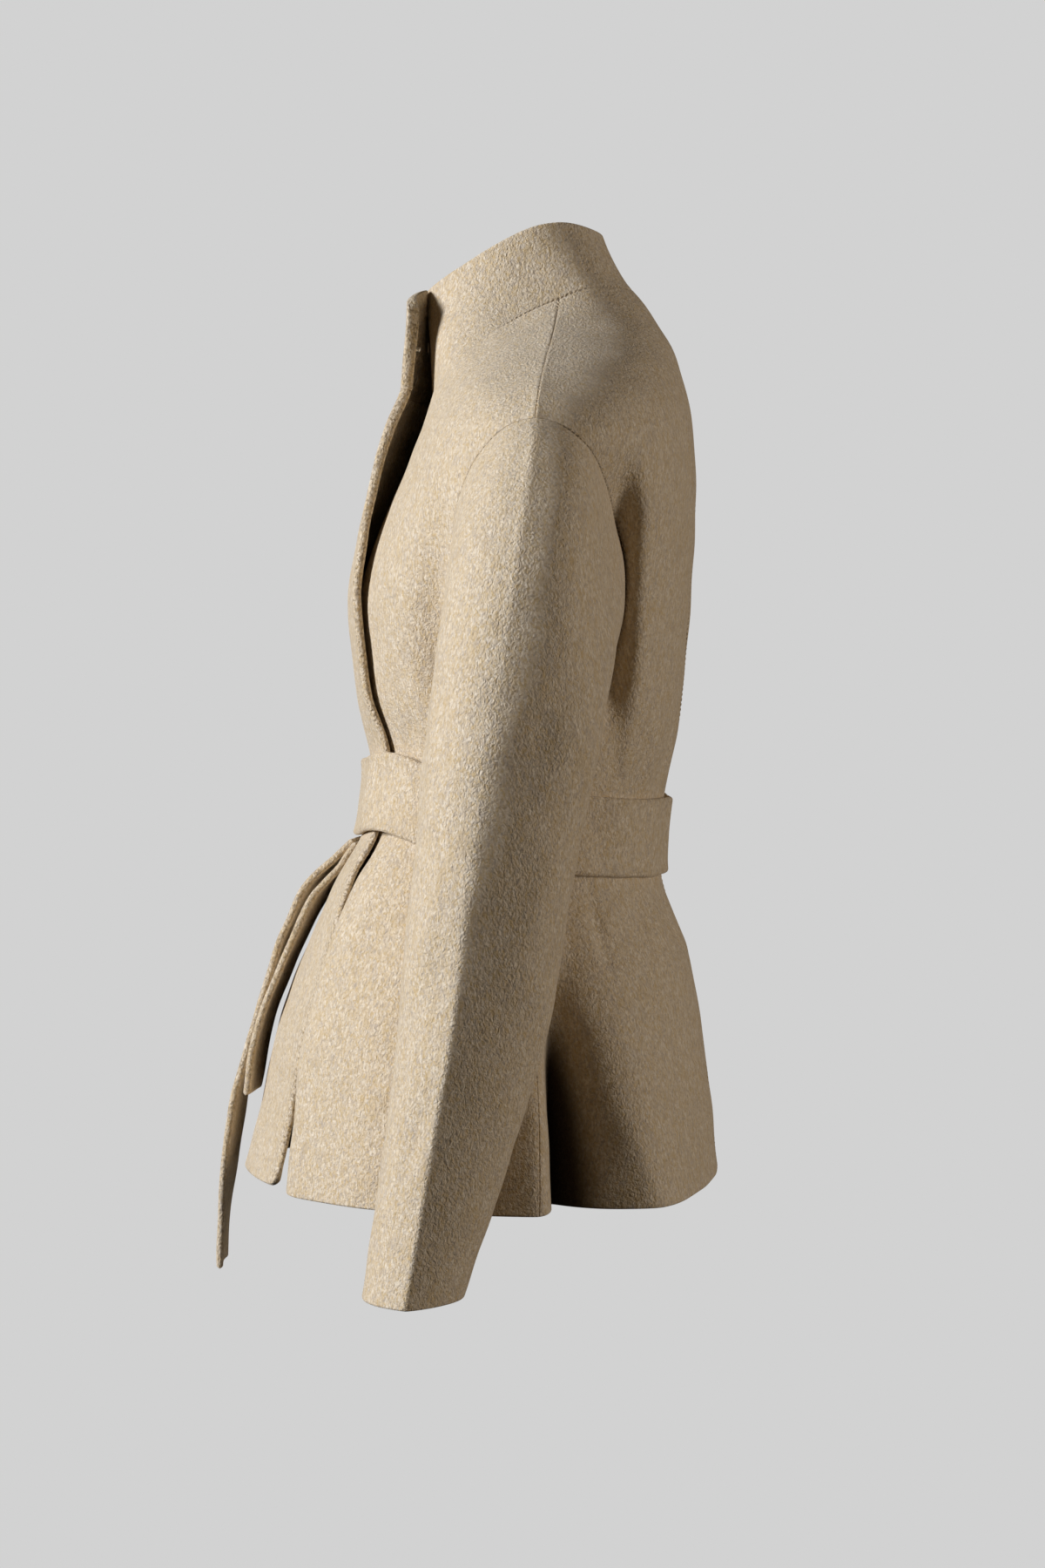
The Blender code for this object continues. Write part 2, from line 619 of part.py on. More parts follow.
def build_knot(material):
    """The flat knot: a strap that turns over the belt from its top edge to its bottom edge."""
    across = np.linspace(-1.0, 1.0, KNOT_COLUMNS)[None, :]
    down = np.linspace(0.0, 1.0, KNOT_ROWS)[:, None]
    across, down = np.broadcast_arrays(across, down)
    pinch = 1.0 - KNOT_PINCH * np.sin(math.pi * down)
    x = KNOT_X + KNOT_HALF_WIDTH * across * pinch
    turn = np.arcsin(x / float(along(BODY, "half_width", WAIST)))
    height = WAIST + BELT_HALF + KNOT_TOP - (2.0 * BELT_HALF + KNOT_TOP + KNOT_RISE) * down
    crown = KNOT_BULGE * np.abs(np.sin(math.pi * down)) ** KNOT_FULLNESS * (1.0 - KNOT_ROUND * across ** 2)
    inner = belt_face(turn, height, BELT_THICK + KNOT_EASE)
    outer = belt_face(turn, height, BELT_THICK + KNOT_EASE + KNOT_THICK + crown)
    return add_cloth("belt_knot", outer, inner, material)


def route_points(route, steps):
    """A smooth run through a route's rows, evenly stepped."""
    key = np.linspace(0.0, 1.0, len(route))
    at = np.linspace(0.0, 1.0, steps)
    return [through(key, np.array([getattr(row, column) for row in route]), at) for column in Route._fields]


def build_tail(name, route, material):
    """A belt tail: a flat ribbon along its route."""
    x, y, z, turn = route_points(route, TAIL_ROWS)
    middle = np.stack([x, y, z], -1)
    onward = unit(np.gradient(middle, axis=0))
    swing = np.radians(turn)
    across = np.stack([np.cos(swing), np.sin(swing), 0.0 * swing], -1)
    facing = unit(np.cross(onward, across))
    share = np.linspace(-1.0, 1.0, TAIL_COLUMNS)[None, :, None]
    outer = middle[:, None, :] + TAIL_HALF * share * across[:, None, :]
    inner = outer - TAIL_THICK * facing[:, None, :]
    return add_cloth(name, outer, inner, material)


def build_turned(name, profile, foot, axis, material):
    """A small turned piece: its profile of (radius, height) spun about an axis from its foot."""
    axis = axis / np.linalg.norm(axis)
    side = unit(np.cross(axis, np.array([0.0, 0.0, 1.0])))
    up = np.cross(side, axis)
    angle = np.linspace(0.0, 2 * math.pi, SNAP_SEGMENTS, endpoint=False)
    points = [foot + axis * profile[0][1]]
    for radius, height in profile[1:-1]:
        ring = foot + axis * height + radius * (np.outer(np.cos(angle), side) + np.outer(np.sin(angle), up))
        points.extend(ring)
    points.append(foot + axis * profile[-1][1])
    faces = []
    n = SNAP_SEGMENTS
    rings = len(profile) - 2
    for k in range(n):
        faces.append((0, 1 + (k + 1) % n, 1 + k))
        for r in range(rings - 1):
            a, b = 1 + r * n + k, 1 + r * n + (k + 1) % n
            faces.append((a, b, b + n, a + n))
        last = 1 + (rings - 1) * n
        faces.append((last + k, last + (k + 1) % n, len(points) - 1))
    return add_solid(name, np.array(points), faces, material)


def make_material(name, colour, roughness, metallic):
    """A plain Principled material."""
    material = bpy.data.materials.new(name)
    material.use_nodes = True
    shader = material.node_tree.nodes["Principled BSDF"]
    shader.inputs["Base Color"].default_value = colour + (1.0,)
    shader.inputs["Roughness"].default_value = roughness
    shader.inputs["Metallic"].default_value = metallic
    return material


def rolled(distance):
    """Wall at a distance from a front edge: thicker where the edge is rolled."""
    return CLOTH + (EDGE_ROLL - CLOTH) * smooth(1.0 - distance / EDGE_ROLL_REACH)


def build_fronts(material):
    """The two fronts: the same cut, the right one laid over the left one."""
    share = crowd(UNDER_COLUMNS)[None, :]
    turn, height = panel_grid(share, lambda at: -edge_turn(at), True)
    add_panel("front_left", under_front, turn, height, rolled(FRONT_WIDTH * share), material)
    share = crowd(OVER_COLUMNS)[None, :]
    turn, height = panel_grid(share, lambda at: -edge_turn(at), True)
    add_panel("front_right", over_front, -turn, height, rolled(FRONT_WIDTH * share), material)


def build_backs(material):
    """The two backs, mirrored at the centre-back seam."""
    share = np.linspace(0.0, 1.0, BACK_COLUMNS)[None, :]
    turn, height = panel_grid(share, lambda at: math.pi + 0.0 * at, False)
    add_panel("back_left", body, turn, height, CLOTH, material)
    add_panel("back_right", body, -turn, height, CLOTH, material)


def build_snap(material):
    """The press stud, open: its ball half inside the over end's edge, its socket half on the under end."""
    rise = np.array(SNAP_RISE)
    end = float(edge_turn(neck_centre_height(edge_turn)))
    turn = end - SNAP_FROM_EDGE * (2 * math.pi + 2 * end) / COLLAR_LENGTH
    over = np.array(2 * math.pi + turn)
    inward = -outward(collar, over, rise)
    foot = collar(over, rise) + inward * (rolled(SNAP_FROM_EDGE) + SNAP_STUD_EASE)
    stud = [(0.0, 0.0), (SNAP_DISC, 0.0), (SNAP_DISC, SNAP_DISC_THICK), (SNAP_NECK, SNAP_NECK_FOOT),
            (SNAP_NECK, SNAP_NECK_TOP), (SNAP_BALL, SNAP_BALL_WIDEST), (SNAP_CROWN, SNAP_CROWN_LOW),
            (0.0, SNAP_TOP)]
    build_turned("snap_stud", stud, foot, inward, material)
    under = np.array(turn)
    facing = outward(collar, under, rise)
    foot = collar(under, rise) + facing * SNAP_EASE
    socket = [(0.0, 0.0), (SNAP_DISC, 0.0), (SNAP_DISC, SNAP_DISC_THICK), (0.0, SNAP_DISC_THICK)]
    build_turned("snap_socket", socket, foot, facing, material)


for leftover in list(bpy.data.objects):
    bpy.data.objects.remove(leftover, do_unlink=True)

WOOL = make_material("camel_wool", (0.52, 0.41, 0.27), 0.95, 0.0)
STEEL = make_material("snap_steel", (0.55, 0.53, 0.50), 0.35, 1.0)

build_fronts(WOOL)
build_backs(WOOL)
build_sleeve("sleeve_left", 1.0, WOOL)
build_sleeve("sleeve_right", -1.0, WOOL)
build_collar(WOOL)
build_belt(WOOL)
build_knot(WOOL)
build_tail("belt_tail_long", LONG_TAIL, WOOL)
build_tail("belt_tail_short", SHORT_TAIL, WOOL)
build_snap(STEEL)
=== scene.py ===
# %% [markdown]
# A short belted wool coat, dressed.
# The solids give the coat's worn shape with nobody inside it. Here every cloth solid gets a finer shell on
# the same form, with round edges, seams, hand stitches, small creases and a brushed wool finish.

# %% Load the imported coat
import math
from collections import namedtuple

import bpy
import numpy as np
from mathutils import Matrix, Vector


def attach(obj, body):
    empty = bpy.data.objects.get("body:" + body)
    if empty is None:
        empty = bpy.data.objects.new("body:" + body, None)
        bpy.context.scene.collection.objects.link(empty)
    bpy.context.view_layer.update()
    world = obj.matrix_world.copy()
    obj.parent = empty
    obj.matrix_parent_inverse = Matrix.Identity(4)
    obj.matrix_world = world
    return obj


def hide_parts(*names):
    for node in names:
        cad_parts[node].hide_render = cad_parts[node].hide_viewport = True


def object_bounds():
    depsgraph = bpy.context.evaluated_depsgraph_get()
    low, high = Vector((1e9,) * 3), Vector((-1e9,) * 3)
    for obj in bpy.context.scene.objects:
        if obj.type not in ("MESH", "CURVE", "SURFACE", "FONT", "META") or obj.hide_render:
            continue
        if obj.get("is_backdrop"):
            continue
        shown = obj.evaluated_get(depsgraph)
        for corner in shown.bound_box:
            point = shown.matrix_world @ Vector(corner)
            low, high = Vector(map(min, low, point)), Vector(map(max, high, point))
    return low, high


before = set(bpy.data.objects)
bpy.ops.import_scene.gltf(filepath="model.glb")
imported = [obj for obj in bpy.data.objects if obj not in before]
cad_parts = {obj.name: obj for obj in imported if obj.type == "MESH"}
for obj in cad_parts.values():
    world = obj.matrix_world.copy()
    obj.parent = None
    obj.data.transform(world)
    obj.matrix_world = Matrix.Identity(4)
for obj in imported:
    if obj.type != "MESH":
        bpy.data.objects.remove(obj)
cad_low, cad_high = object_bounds()
print("solids:", ", ".join(sorted(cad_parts)))

# %% [markdown]
# The camera stands at the wearer's left, a little above the middle of the coat, and looks along -X.
# A narrow view angle from far off keeps the coat's outline nearly flat, as a catalogue picture does.

# %% Camera
CAMERA_REACH = 2.5
CAMERA_TURN = math.radians(4.0)
CAMERA_HEIGHT = -0.2136
AIM = Vector((0.0, 0.0, -0.33))
HALF_PICTURE = 900.0
FOCAL_PIXELS = 4166.7

lens = bpy.data.cameras.new("camera")
lens.angle = 2.0 * math.atan(HALF_PICTURE / FOCAL_PIXELS)
camera = bpy.data.objects.new("camera", lens)
camera.location = (CAMERA_REACH * math.cos(CAMERA_TURN), CAMERA_REACH * math.sin(CAMERA_TURN), CAMERA_HEIGHT)
camera.rotation_euler = (AIM - camera.location).to_track_quat("-Z", "Y").to_euler()
bpy.context.scene.collection.objects.link(camera)
bpy.context.scene.camera = camera
print("view angle:", round(math.degrees(lens.angle), 1), "degrees")

# %% [markdown]
# Light is most of what makes wool look like wool. One lamp in front of the coat rakes along its side, so
# the pressed sleeve crease parts light from shade. A weak warm lamp behind the coat and a dim sky keep the
# shade readable. The room is one pale round surface, floor and wall together, that glows evenly and lights
# nothing.

# %% Lights and the pale room
Lamp = namedtuple("Lamp", "name place wide tall watts tint")
LAMPS = [
    Lamp("front_lamp", (1.55, -3.17, 0.82), 0.95, 1.2, 194.0, (0.92, 0.94, 1.0)),
    Lamp("rear_lamp", (0.55, 2.82, -0.05), 1.2, 1.4, 34.0, (1.0, 0.91, 0.83)),
]
SKY = (0.014, 0.0125, 0.011, 1.0)
ROOM_GREY = 0.6444
ROOM_RADIUS = 9.0
ROOM_CORNER = 3.0
ROOM_FLOOR_SHARE = 0.3
ROOM_SWEEP = 0.75 * math.pi
ROOM_ROWS = 40
ROOM_COLUMNS = 49
FLOOR_LEVEL = -1.0

for lamp in LAMPS:
    light = bpy.data.lights.new(lamp.name, "AREA")
    light.shape = "RECTANGLE"
    light.size = lamp.wide
    light.size_y = lamp.tall
    light.energy = lamp.watts
    light.color = lamp.tint
    holder = bpy.data.objects.new(lamp.name, light)
    holder.location = lamp.place
    holder.rotation_euler = (AIM - holder.location).to_track_quat("-Z", "Y").to_euler()
    holder.visible_camera = False
    bpy.context.scene.collection.objects.link(holder)

world = bpy.data.worlds.new("sky")
world.use_nodes = True
world.node_tree.nodes["Background"].inputs["Color"].default_value = SKY
bpy.context.scene.world = world
bpy.context.scene.view_settings.view_transform = "Standard"


def grid_faces(rows, columns):
    """Quads of a grid of points, row by row."""
    corner = np.arange(rows * columns).reshape(rows, columns)
    quads = np.stack([corner[:-1, :-1], corner[:-1, 1:], corner[1:, 1:], corner[1:, :-1]], -1)
    return quads.reshape(-1, 4)


def room_surface(turn, run):
    """Floor, rounded corner and dome: a profile of radius and height turned about the upright axis."""
    sweep = np.clip((run - ROOM_FLOOR_SHARE) / (1.0 - ROOM_FLOOR_SHARE), 0.0, 1.0) * ROOM_SWEEP
    flat = np.clip(run / ROOM_FLOOR_SHARE, 0.0, 1.0) * (ROOM_RADIUS - ROOM_CORNER)
    radius = flat + ROOM_CORNER * np.sin(sweep) * (1.0 + 0.0 * turn)
    radius = np.where(sweep > math.pi / 2, ROOM_RADIUS * np.cos((sweep - math.pi / 2) * 2.0), radius)
    height = FLOOR_LEVEL + ROOM_CORNER * (1.0 - np.cos(np.minimum(sweep, math.pi / 2)))
    height = height + ROOM_RADIUS * np.sin(np.maximum(sweep - math.pi / 2, 0.0) * 2.0)
    return np.stack([radius * np.cos(turn), radius * np.sin(turn), height + 0.0 * turn], -1)


def plain_finish(name, values):
    """A new material, with the values that its main shader's sockets have all over."""
    finish = bpy.data.materials.new(name)
    finish.use_nodes = True
    for socket, value in values.items():
        finish.node_tree.nodes["Principled BSDF"].inputs[socket].default_value = value
    return finish


room_turn = np.linspace(0.0, 2 * math.pi, ROOM_COLUMNS)
room_turn, room_run = np.meshgrid(room_turn, np.linspace(0.0, 1.0, ROOM_ROWS))
room_points = room_surface(room_turn, room_run).reshape(-1, 3)
room_mesh = bpy.data.meshes.new("room")
room_mesh.from_pydata(room_points, [], grid_faces(ROOM_ROWS, ROOM_COLUMNS).tolist())
room = bpy.data.objects.new("room", room_mesh)
room_mesh.materials.append(plain_finish("room_paint", {
    "Base Color": (0.0, 0.0, 0.0, 1.0),
    "Specular IOR Level": 0.0,
    "Emission Color": (ROOM_GREY, ROOM_GREY, ROOM_GREY, 1.0),
    "Emission Strength": 1.0,
}))
for ray in ("diffuse", "glossy", "transmission", "shadow"):
    setattr(room, "visible_" + ray, False)
bpy.context.scene.collection.objects.link(room)
room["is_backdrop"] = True
print("lamps:", len(LAMPS))

# %% [markdown]
# A material is a graph of nodes. Drawing every Math node by hand is slow to read, so a small class wraps a
# socket: adding or multiplying two of them adds the node, and any other node comes from one method.

# %% Shader maths


class Tone:
    """One socket of a material; arithmetic on it adds Math nodes."""

    def __init__(self, tree, socket):
        self.tree = tree
        self.socket = socket

    def node(self, kind, settings, inputs, output=0):
        """A new node of a kind: its settings first, then the values or links of its sockets."""
        made = self.tree.nodes.new(kind)
        for name, value in settings.items():
            setattr(made, name, value)
        for name, value in inputs.items():
            if isinstance(value, Tone):
                self.tree.links.new(value.socket, made.inputs[name])
            else:
                made.inputs[name].default_value = value
        return Tone(self.tree, made.outputs[output])

    def maths(self, operation, first, second):
        """One Math node of two values."""
        return self.node("ShaderNodeMath", {"operation": operation}, {0: first, 1: second})

    def __add__(self, other):
        return self.maths("ADD", self, other)

    def __radd__(self, other):
        return self.maths("ADD", other, self)

    def __mul__(self, other):
        return self.maths("MULTIPLY", self, other)

    def __rmul__(self, other):
        return self.maths("MULTIPLY", other, self)

    def between(self, low, high):
        """Zero below low, one above high and a soft rise between them."""
        return self.node("ShaderNodeMapRange", {"interpolation_type": "SMOOTHSTEP"},
                         {"Value": self, "From Min": low, "From Max": high})

    def tint(self, first, second):
        """A colour that goes from the first to the second as this value goes from 0 to 1."""
        return self.node("ShaderNodeMix", {"data_type": "RGBA"}, {0: self, 6: first, 7: second}, 2)

    def feed(self, name):
        """Links this value to a socket of the material's main shader."""
        self.tree.links.new(self.socket, self.tree.nodes["Principled BSDF"].inputs[name])


# %% [markdown]
# The cloth is a brushed, double-faced camel wool. Close up it is a heather: pale beige with strokes of
# ochre and grey-mauve fibre a few millimetres long, and a short curly nap that catches raking light.
# Noise stretched along a direction makes strokes; the same noise at the nap's size makes the relief.
# A pattern laid along each piece would shear where a panel bends, so the noise reads plain Object
# coordinates in metres, and strokes keep one size everywhere. Two numbers kept on the cloth paint shade into
# it:
# dark specks of painted shade along a turned edge, and painted shade deep in a pleat, where hardly any light
# gets in.

# %% Wool
PALE = (0.640, 0.520, 0.362, 1.0)
OCHRE = (0.545, 0.392, 0.190, 1.0)
MAUVE = (0.440, 0.368, 0.292, 1.0)
CREAM = (0.820, 0.720, 0.570, 1.0)
Stroke = namedtuple("Stroke", "lean width length low high weight colour")
STROKES = [
    Stroke(24.0, 0.0018, 0.0048, 0.48, 0.62, 0.70, OCHRE),
    Stroke(-31.0, 0.0016, 0.0042, 0.50, 0.64, 0.70, MAUVE),
    Stroke(8.0, 0.0015, 0.0038, 0.50, 0.64, 0.65, CREAM),
    Stroke(-12.0, 0.0045, 0.0170, 0.48, 0.72, 0.40, OCHRE),
    Stroke(15.0, 0.0060, 0.0220, 0.50, 0.74, 0.35, MAUVE),
]
STROKE_SHIFT = 0.37
SIDE_LEAN = 0.6
CURL_SIZE = 0.0042
CURL_SHIFT = 0.0026
NAP_SIZE = 0.0020
NAP_WEIGHT = 0.55
FIBRE_WIDTH = 0.0010
FIBRE_LENGTH = 0.0032
Fibre = namedtuple("Fibre", "lean shift weight")
FIBRES = [Fibre(18.0, 0.11, 0.30), Fibre(-27.0, 0.53, 0.25)]
RELIEF = 0.0019
# Dark specks near a turned edge are painted shade, for the shade in the nap there.
EDGE_NAME = "edge"
EDGE_SPECK_SHADE = (0.300, 0.225, 0.140, 1.0)
SPECK_SIZE = 0.0019
SPECK_LOW = 0.50
SPECK_HIGH = 0.64
SPECK_WEIGHT = 0.8
# Deep in a pleat the wool is darkened: painted shade, as light bouncing between the pale walls would fill it.
DEEP_NAME = "deep"
PLEAT_SHADE = (0.062, 0.044, 0.028, 1.0)
WOOL_SURFACE = {
    "Roughness": 0.92,
    "Specular IOR Level": 0.2,
    "Sheen Weight": 0.25,
    "Sheen Roughness": 0.45,
    "Sheen Tint": (1.0, 0.93, 0.82, 1.0),
}


def stretched(place, lean, width, length, shift):
    """Noise drawn out along a lean: the place is turned, then divided by the stroke's width and length."""
    turned = (math.radians(lean), math.radians(lean * SIDE_LEAN), 0.0)
    laid = place.node("ShaderNodeMapping", {"vector_type": "TEXTURE"},
                      {"Vector": place, "Location": (shift, shift, shift),
                       "Rotation": turned, "Scale": (width, width, length)})
    return place.node("ShaderNodeTexNoise", {},
                      {"Vector": laid, "Scale": 1.0, "Detail": 2.0, "Roughness": 0.55})


def make_wool(name):
    """Heather colour and napped relief for one wool finish, with painted shade along edges and deep in
    pleats.
    """
    wool = plain_finish(name, WOOL_SURFACE)
    start = Tone(wool.node_tree, None)
    coat = start.node("ShaderNodeTexCoord", {}, {}, 3)
    drift = start.node("ShaderNodeTexNoise", {}, {"Vector": coat, "Scale": 1.0 / CURL_SIZE, "Detail": 1.0}, 1)
    centred = start.node("ShaderNodeVectorMath", {"operation": "SUBTRACT"}, {0: drift, 1: (0.5, 0.5, 0.5)})
    push = start.node("ShaderNodeVectorMath", {"operation": "SCALE"}, {0: centred, "Scale": CURL_SHIFT})
    place = start.node("ShaderNodeVectorMath", {"operation": "ADD"}, {0: coat, 1: push})
    colour = PALE
    for number, stroke in enumerate(STROKES):
        field = stretched(place, stroke.lean, stroke.width, stroke.length, STROKE_SHIFT * number)
        share = field.between(stroke.low, stroke.high) * stroke.weight
        colour = share.tint(colour, stroke.colour)
    nap = start.node("ShaderNodeTexNoise", {}, {"Vector": place, "Scale": 1.0 / NAP_SIZE, "Detail": 2.0})
    relief = nap * NAP_WEIGHT
    for fibre in FIBRES:
        relief = relief + stretched(place, fibre.lean, FIBRE_WIDTH, FIBRE_LENGTH, fibre.shift) * fibre.weight
    raised = start.node("ShaderNodeBump", {}, {"Strength": 1.0, "Distance": RELIEF, "Height": relief})
    raised.feed("Normal")
    # Painted shade: dark specks near a turned edge.
    edge = start.node("ShaderNodeAttribute", {"attribute_name": EDGE_NAME}, {}, 2)
    speck = start.node("ShaderNodeTexNoise", {}, {"Vector": coat, "Scale": 1.0 / SPECK_SIZE, "Detail": 1.0})
    edge_shade = speck.between(SPECK_LOW, SPECK_HIGH) * edge * SPECK_WEIGHT
    colour = edge_shade.tint(colour, EDGE_SPECK_SHADE)
    # Painted shade deep in a pleat.
    deep = start.node("ShaderNodeAttribute", {"attribute_name": DEEP_NAME}, {}, 2)
    deep.tint(colour, PLEAT_SHADE).feed("Base Color")
    return wool


WOOL = make_wool("camel_wool")
print("wool nodes:", len(WOOL.node_tree.nodes))

# %% [markdown]
# The coat's body is a stack of squarish ellipses, one for each height, read from a short table with a smooth
# curve through its rows. A turn is measured from centre front, and grows towards the wearer's left.

# %% The body's form
Section = namedtuple("Section", "height half_width side_y front_y back_y square")
BODY = [
    Section(-0.597, 0.2010, 0.0200, -0.1990, 0.1350, 2.00),
    Section(-0.540, 0.1900, 0.0170, -0.1840, 0.1295, 2.20),
    Section(-0.490, 0.1770, 0.0130, -0.1690, 0.1225, 2.40),
    Section(-0.440, 0.1610, 0.0090, -0.1460, 0.1135, 2.50),
    Section(-0.405, 0.1460, 0.0060, -0.1240, 0.1020, 2.55),
    Section(-0.378, 0.1365, 0.0040, -0.1040, 0.0955, 2.30),
    Section(-0.352, 0.1355, 0.0040, -0.0990, 0.0950, 2.15),
    Section(-0.326, 0.1375, 0.0040, -0.0985, 0.0975, 2.05),
    Section(-0.280, 0.1600, 0.0090, -0.1065, 0.1080, 2.00),
    Section(-0.240, 0.1750, 0.0120, -0.1095, 0.1125, 2.00),
    Section(-0.200, 0.1880, 0.0150, -0.1105, 0.1155, 2.00),
    Section(-0.160, 0.2005, 0.0180, -0.0980, 0.1180, 2.00),
    Section(-0.120, 0.2105, 0.0210, -0.0805, 0.1190, 2.00),
    Section(-0.105, 0.2090, 0.0220, -0.0745, 0.1182, 2.00),
    Section(-0.090, 0.2040, 0.0230, -0.0685, 0.1170, 2.00),
    Section(-0.080, 0.1955, 0.0235, -0.0652, 0.1157, 2.00),
    Section(-0.070, 0.1830, 0.0240, -0.0620, 0.1140, 2.00),
    Section(-0.050, 0.1460, 0.0255, -0.0570, 0.1090, 2.00),
    Section(-0.030, 0.1030, 0.0275, -0.0530, 0.1015, 2.00),
    Section(-0.014, 0.0760, 0.0285, -0.0490, 0.0915, 2.00),
    Section(0.000, 0.0610, 0.0290, -0.0450, 0.0815, 2.00),
    Section(0.012, 0.0560, 0.0290, -0.0420, 0.0715, 2.00),
]
HEM = BODY[0].height
WAIST = -0.352
BELT_SLOPE = math.tan(math.radians(7.5))
TILT_REACH = 0.085
BELT_RISE = 0.012
BELT_RISE_TURN = 42.0
BELT_RISE_REACH = 22.0


def smooth(value):
    """Zero below 0, one above 1 and a soft S between."""
    u = np.clip(value, 0.0, 1.0)
    return u * u * (3.0 - 2.0 * u)


def through(key, value, at):
    """A smooth curve through values at rising keys: cubic pieces whose slopes are those of the rows."""
    slope = np.gradient(value, key)
    at = np.clip(np.asarray(at, float), key[0], key[-1])
    i = np.clip(np.searchsorted(key, at) - 1, 0, len(key) - 2)
    span = key[i + 1] - key[i]
    u = (at - key[i]) / span
    rise = (1 + 2 * u) * (1 - u) ** 2 * value[i] + u * u * (3 - 2 * u) * value[i + 1]
    lean = u * (1 - u) ** 2 * slope[i] + u * u * (u - 1) * slope[i + 1]
    return rise + span * lean


def along(table, column, at):
    """A table's column at any height."""
    key = np.array([row.height for row in table])
    return through(key, np.array([getattr(row, column) for row in table]), at)


def unit(vectors):
    """Vectors of length one."""
    return vectors / np.linalg.norm(vectors, axis=-1, keepdims=True)


def bump(offset, reach):
    """A soft hill of height one."""
    return np.exp(-((offset / reach) ** 2))


print("body rings:", len(BODY), "from", HEM, "to", BODY[-1].height, "m")

# %% [markdown]
# The largest folds are in the solids: deep ones where the flared skirt hangs from the belt, softer ones above
# it. The finer creases only belong here. Each is a soft trough or ridge along a line, with its own length,
# width and depth, so that no two sides match. A very slight unevenness keeps any panel from looking turned.

# %% Folds and creases
Fold = namedtuple("Fold", "turn_top turn_hem before after depth")
SKIRT_FOLDS = [
    Fold(101.0, 103.0, 5.5, 14.0, -0.0500),
    Fold(104.0, 131.0, 7.0, 18.0, 0.0100),
    Fold(255.0, 229.0, 18.0, 8.0, 0.0090),
    Fold(260.0, 257.0, 13.0, 5.5, -0.0400),
    Fold(66.0, 62.0, 9.0, 9.0, 0.0040),
    Fold(294.0, 299.0, 9.0, 9.0, 0.0045),
]
FOLD_TOP = -0.384
Crease = namedtuple("Crease", "turn_low low turn_high high reach depth")
BODICE_FOLDS = [
    Crease(64.0, -0.320, 56.0, -0.110, 7.0, -0.0110),
    Crease(296.0, -0.320, 304.0, -0.110, 7.0, -0.0100),
]
FINE_CREASES = [
    Crease(106.0, -0.325, 110.0, -0.262, 3.0, -0.0016),
    Crease(131.0, -0.325, 134.0, -0.240, 3.2, -0.0018),
    Crease(152.0, -0.325, 150.0, -0.272, 2.8, 0.0014),
    Crease(166.0, -0.325, 168.0, -0.250, 3.0, -0.0015),
    Crease(195.0, -0.325, 192.0, -0.258, 3.0, 0.0014),
    Crease(231.0, -0.325, 228.0, -0.236, 3.4, -0.0017),
    Crease(253.0, -0.325, 250.0, -0.270, 3.0, 0.0015),
    Crease(50.0, -0.320, 44.0, -0.252, 3.4, -0.0013),
    Crease(76.0, -0.322, 72.0, -0.262, 3.0, 0.0013),
    Crease(310.0, -0.320, 316.0, -0.255, 3.4, -0.0014),
    Crease(285.0, -0.322, 290.0, -0.260, 3.2, 0.0012),
    Crease(104.0, -0.470, 106.5, -0.376, 2.6, 0.0020),
    Crease(124.0, -0.455, 121.0, -0.376, 2.8, -0.0022),
    Crease(146.0, -0.440, 143.0, -0.376, 2.6, -0.0018),
    Crease(156.0, -0.470, 153.0, -0.376, 3.0, 0.0016),
    Crease(170.0, -0.450, 169.0, -0.376, 2.8, -0.0016),
    Crease(190.0, -0.462, 192.0, -0.376, 2.8, 0.0018),
    Crease(215.0, -0.448, 217.0, -0.376, 2.8, -0.0020),
    Crease(238.0, -0.470, 236.0, -0.376, 3.0, -0.0018),
    Crease(268.0, -0.455, 266.0, -0.376, 2.6, 0.0016),
    Crease(80.0, -0.450, 78.0, -0.378, 2.8, -0.0014),
    Crease(47.0, -0.470, 50.0, -0.380, 3.2, 0.0013),
    Crease(312.0, -0.460, 309.0, -0.380, 3.0, -0.0013),
]
RISE_LOW = 3.0
RISE_HIGH = 2.0
DEEP_FROM = 0.012
DEEP_FULL = 0.032
UNEVEN_SIZES = (0.031, 0.043, 0.058, 0.074, 0.096)
UNEVEN_DEPTH = 0.00014
UNEVEN_SEED = 11
HOLLOW_TURN = 125.0
HOLLOW_BEFORE = 18.0
HOLLOW_AFTER = 8.0
HOLLOW_IN = 0.034
HOLLOW_FORWARD = 0.20
HOLLOW_LOW = -0.322
HOLLOW_HIGH = -0.092
HOLLOW_RISE = 0.090
HOLLOW_FADE = 0.065
ROOF_RISE = 0.0048
ROOF_REACH = 0.016
ROOF_LOW = -0.115
ROOF_HIGH = -0.004
ROOF_FADE = 0.03


def crease_push(turn, height, rows):
    """Sum of soft hills across each crease's line, swelling from its low end and fading at its high end."""
    degrees = np.degrees(turn) % 360.0
    push = np.zeros(np.broadcast(degrees, height).shape)
    for row in rows:
        up = (height - row.low) / (row.high - row.low)
        centre = row.turn_low + (row.turn_high - row.turn_low) * np.clip(up, 0.0, 1.0)
        swell = smooth(up * RISE_LOW) * smooth((1.0 - up) * RISE_HIGH)
        push = push + row.depth * swell * bump(degrees - centre, row.reach)
    return push


def fold_push(turn, height):
    """How far folds and creases push the cloth out: skirt folds deepen towards the hem."""
    degrees = np.degrees(turn) % 360.0
    push = crease_push(turn, height, BODICE_FOLDS + FINE_CREASES)
    off = (np.abs(turn) - math.pi / 2) * along(BODY, "half_width", height)
    roof = smooth((height - ROOF_LOW) / ROOF_FADE) * smooth((ROOF_HIGH - height) / ROOF_FADE)
    push = push + ROOF_RISE * roof * np.exp(-np.abs(off) / ROOF_REACH)
    down = (FOLD_TOP - height) / (FOLD_TOP - HEM)
    for fold in SKIRT_FOLDS:
        centre = fold.turn_top + (fold.turn_hem - fold.turn_top) * np.clip(down, 0.0, 1.0)
        off = degrees - centre
        push = push + fold.depth * smooth(down) * bump(off, np.where(off < 0.0, fold.before, fold.after))
    return push


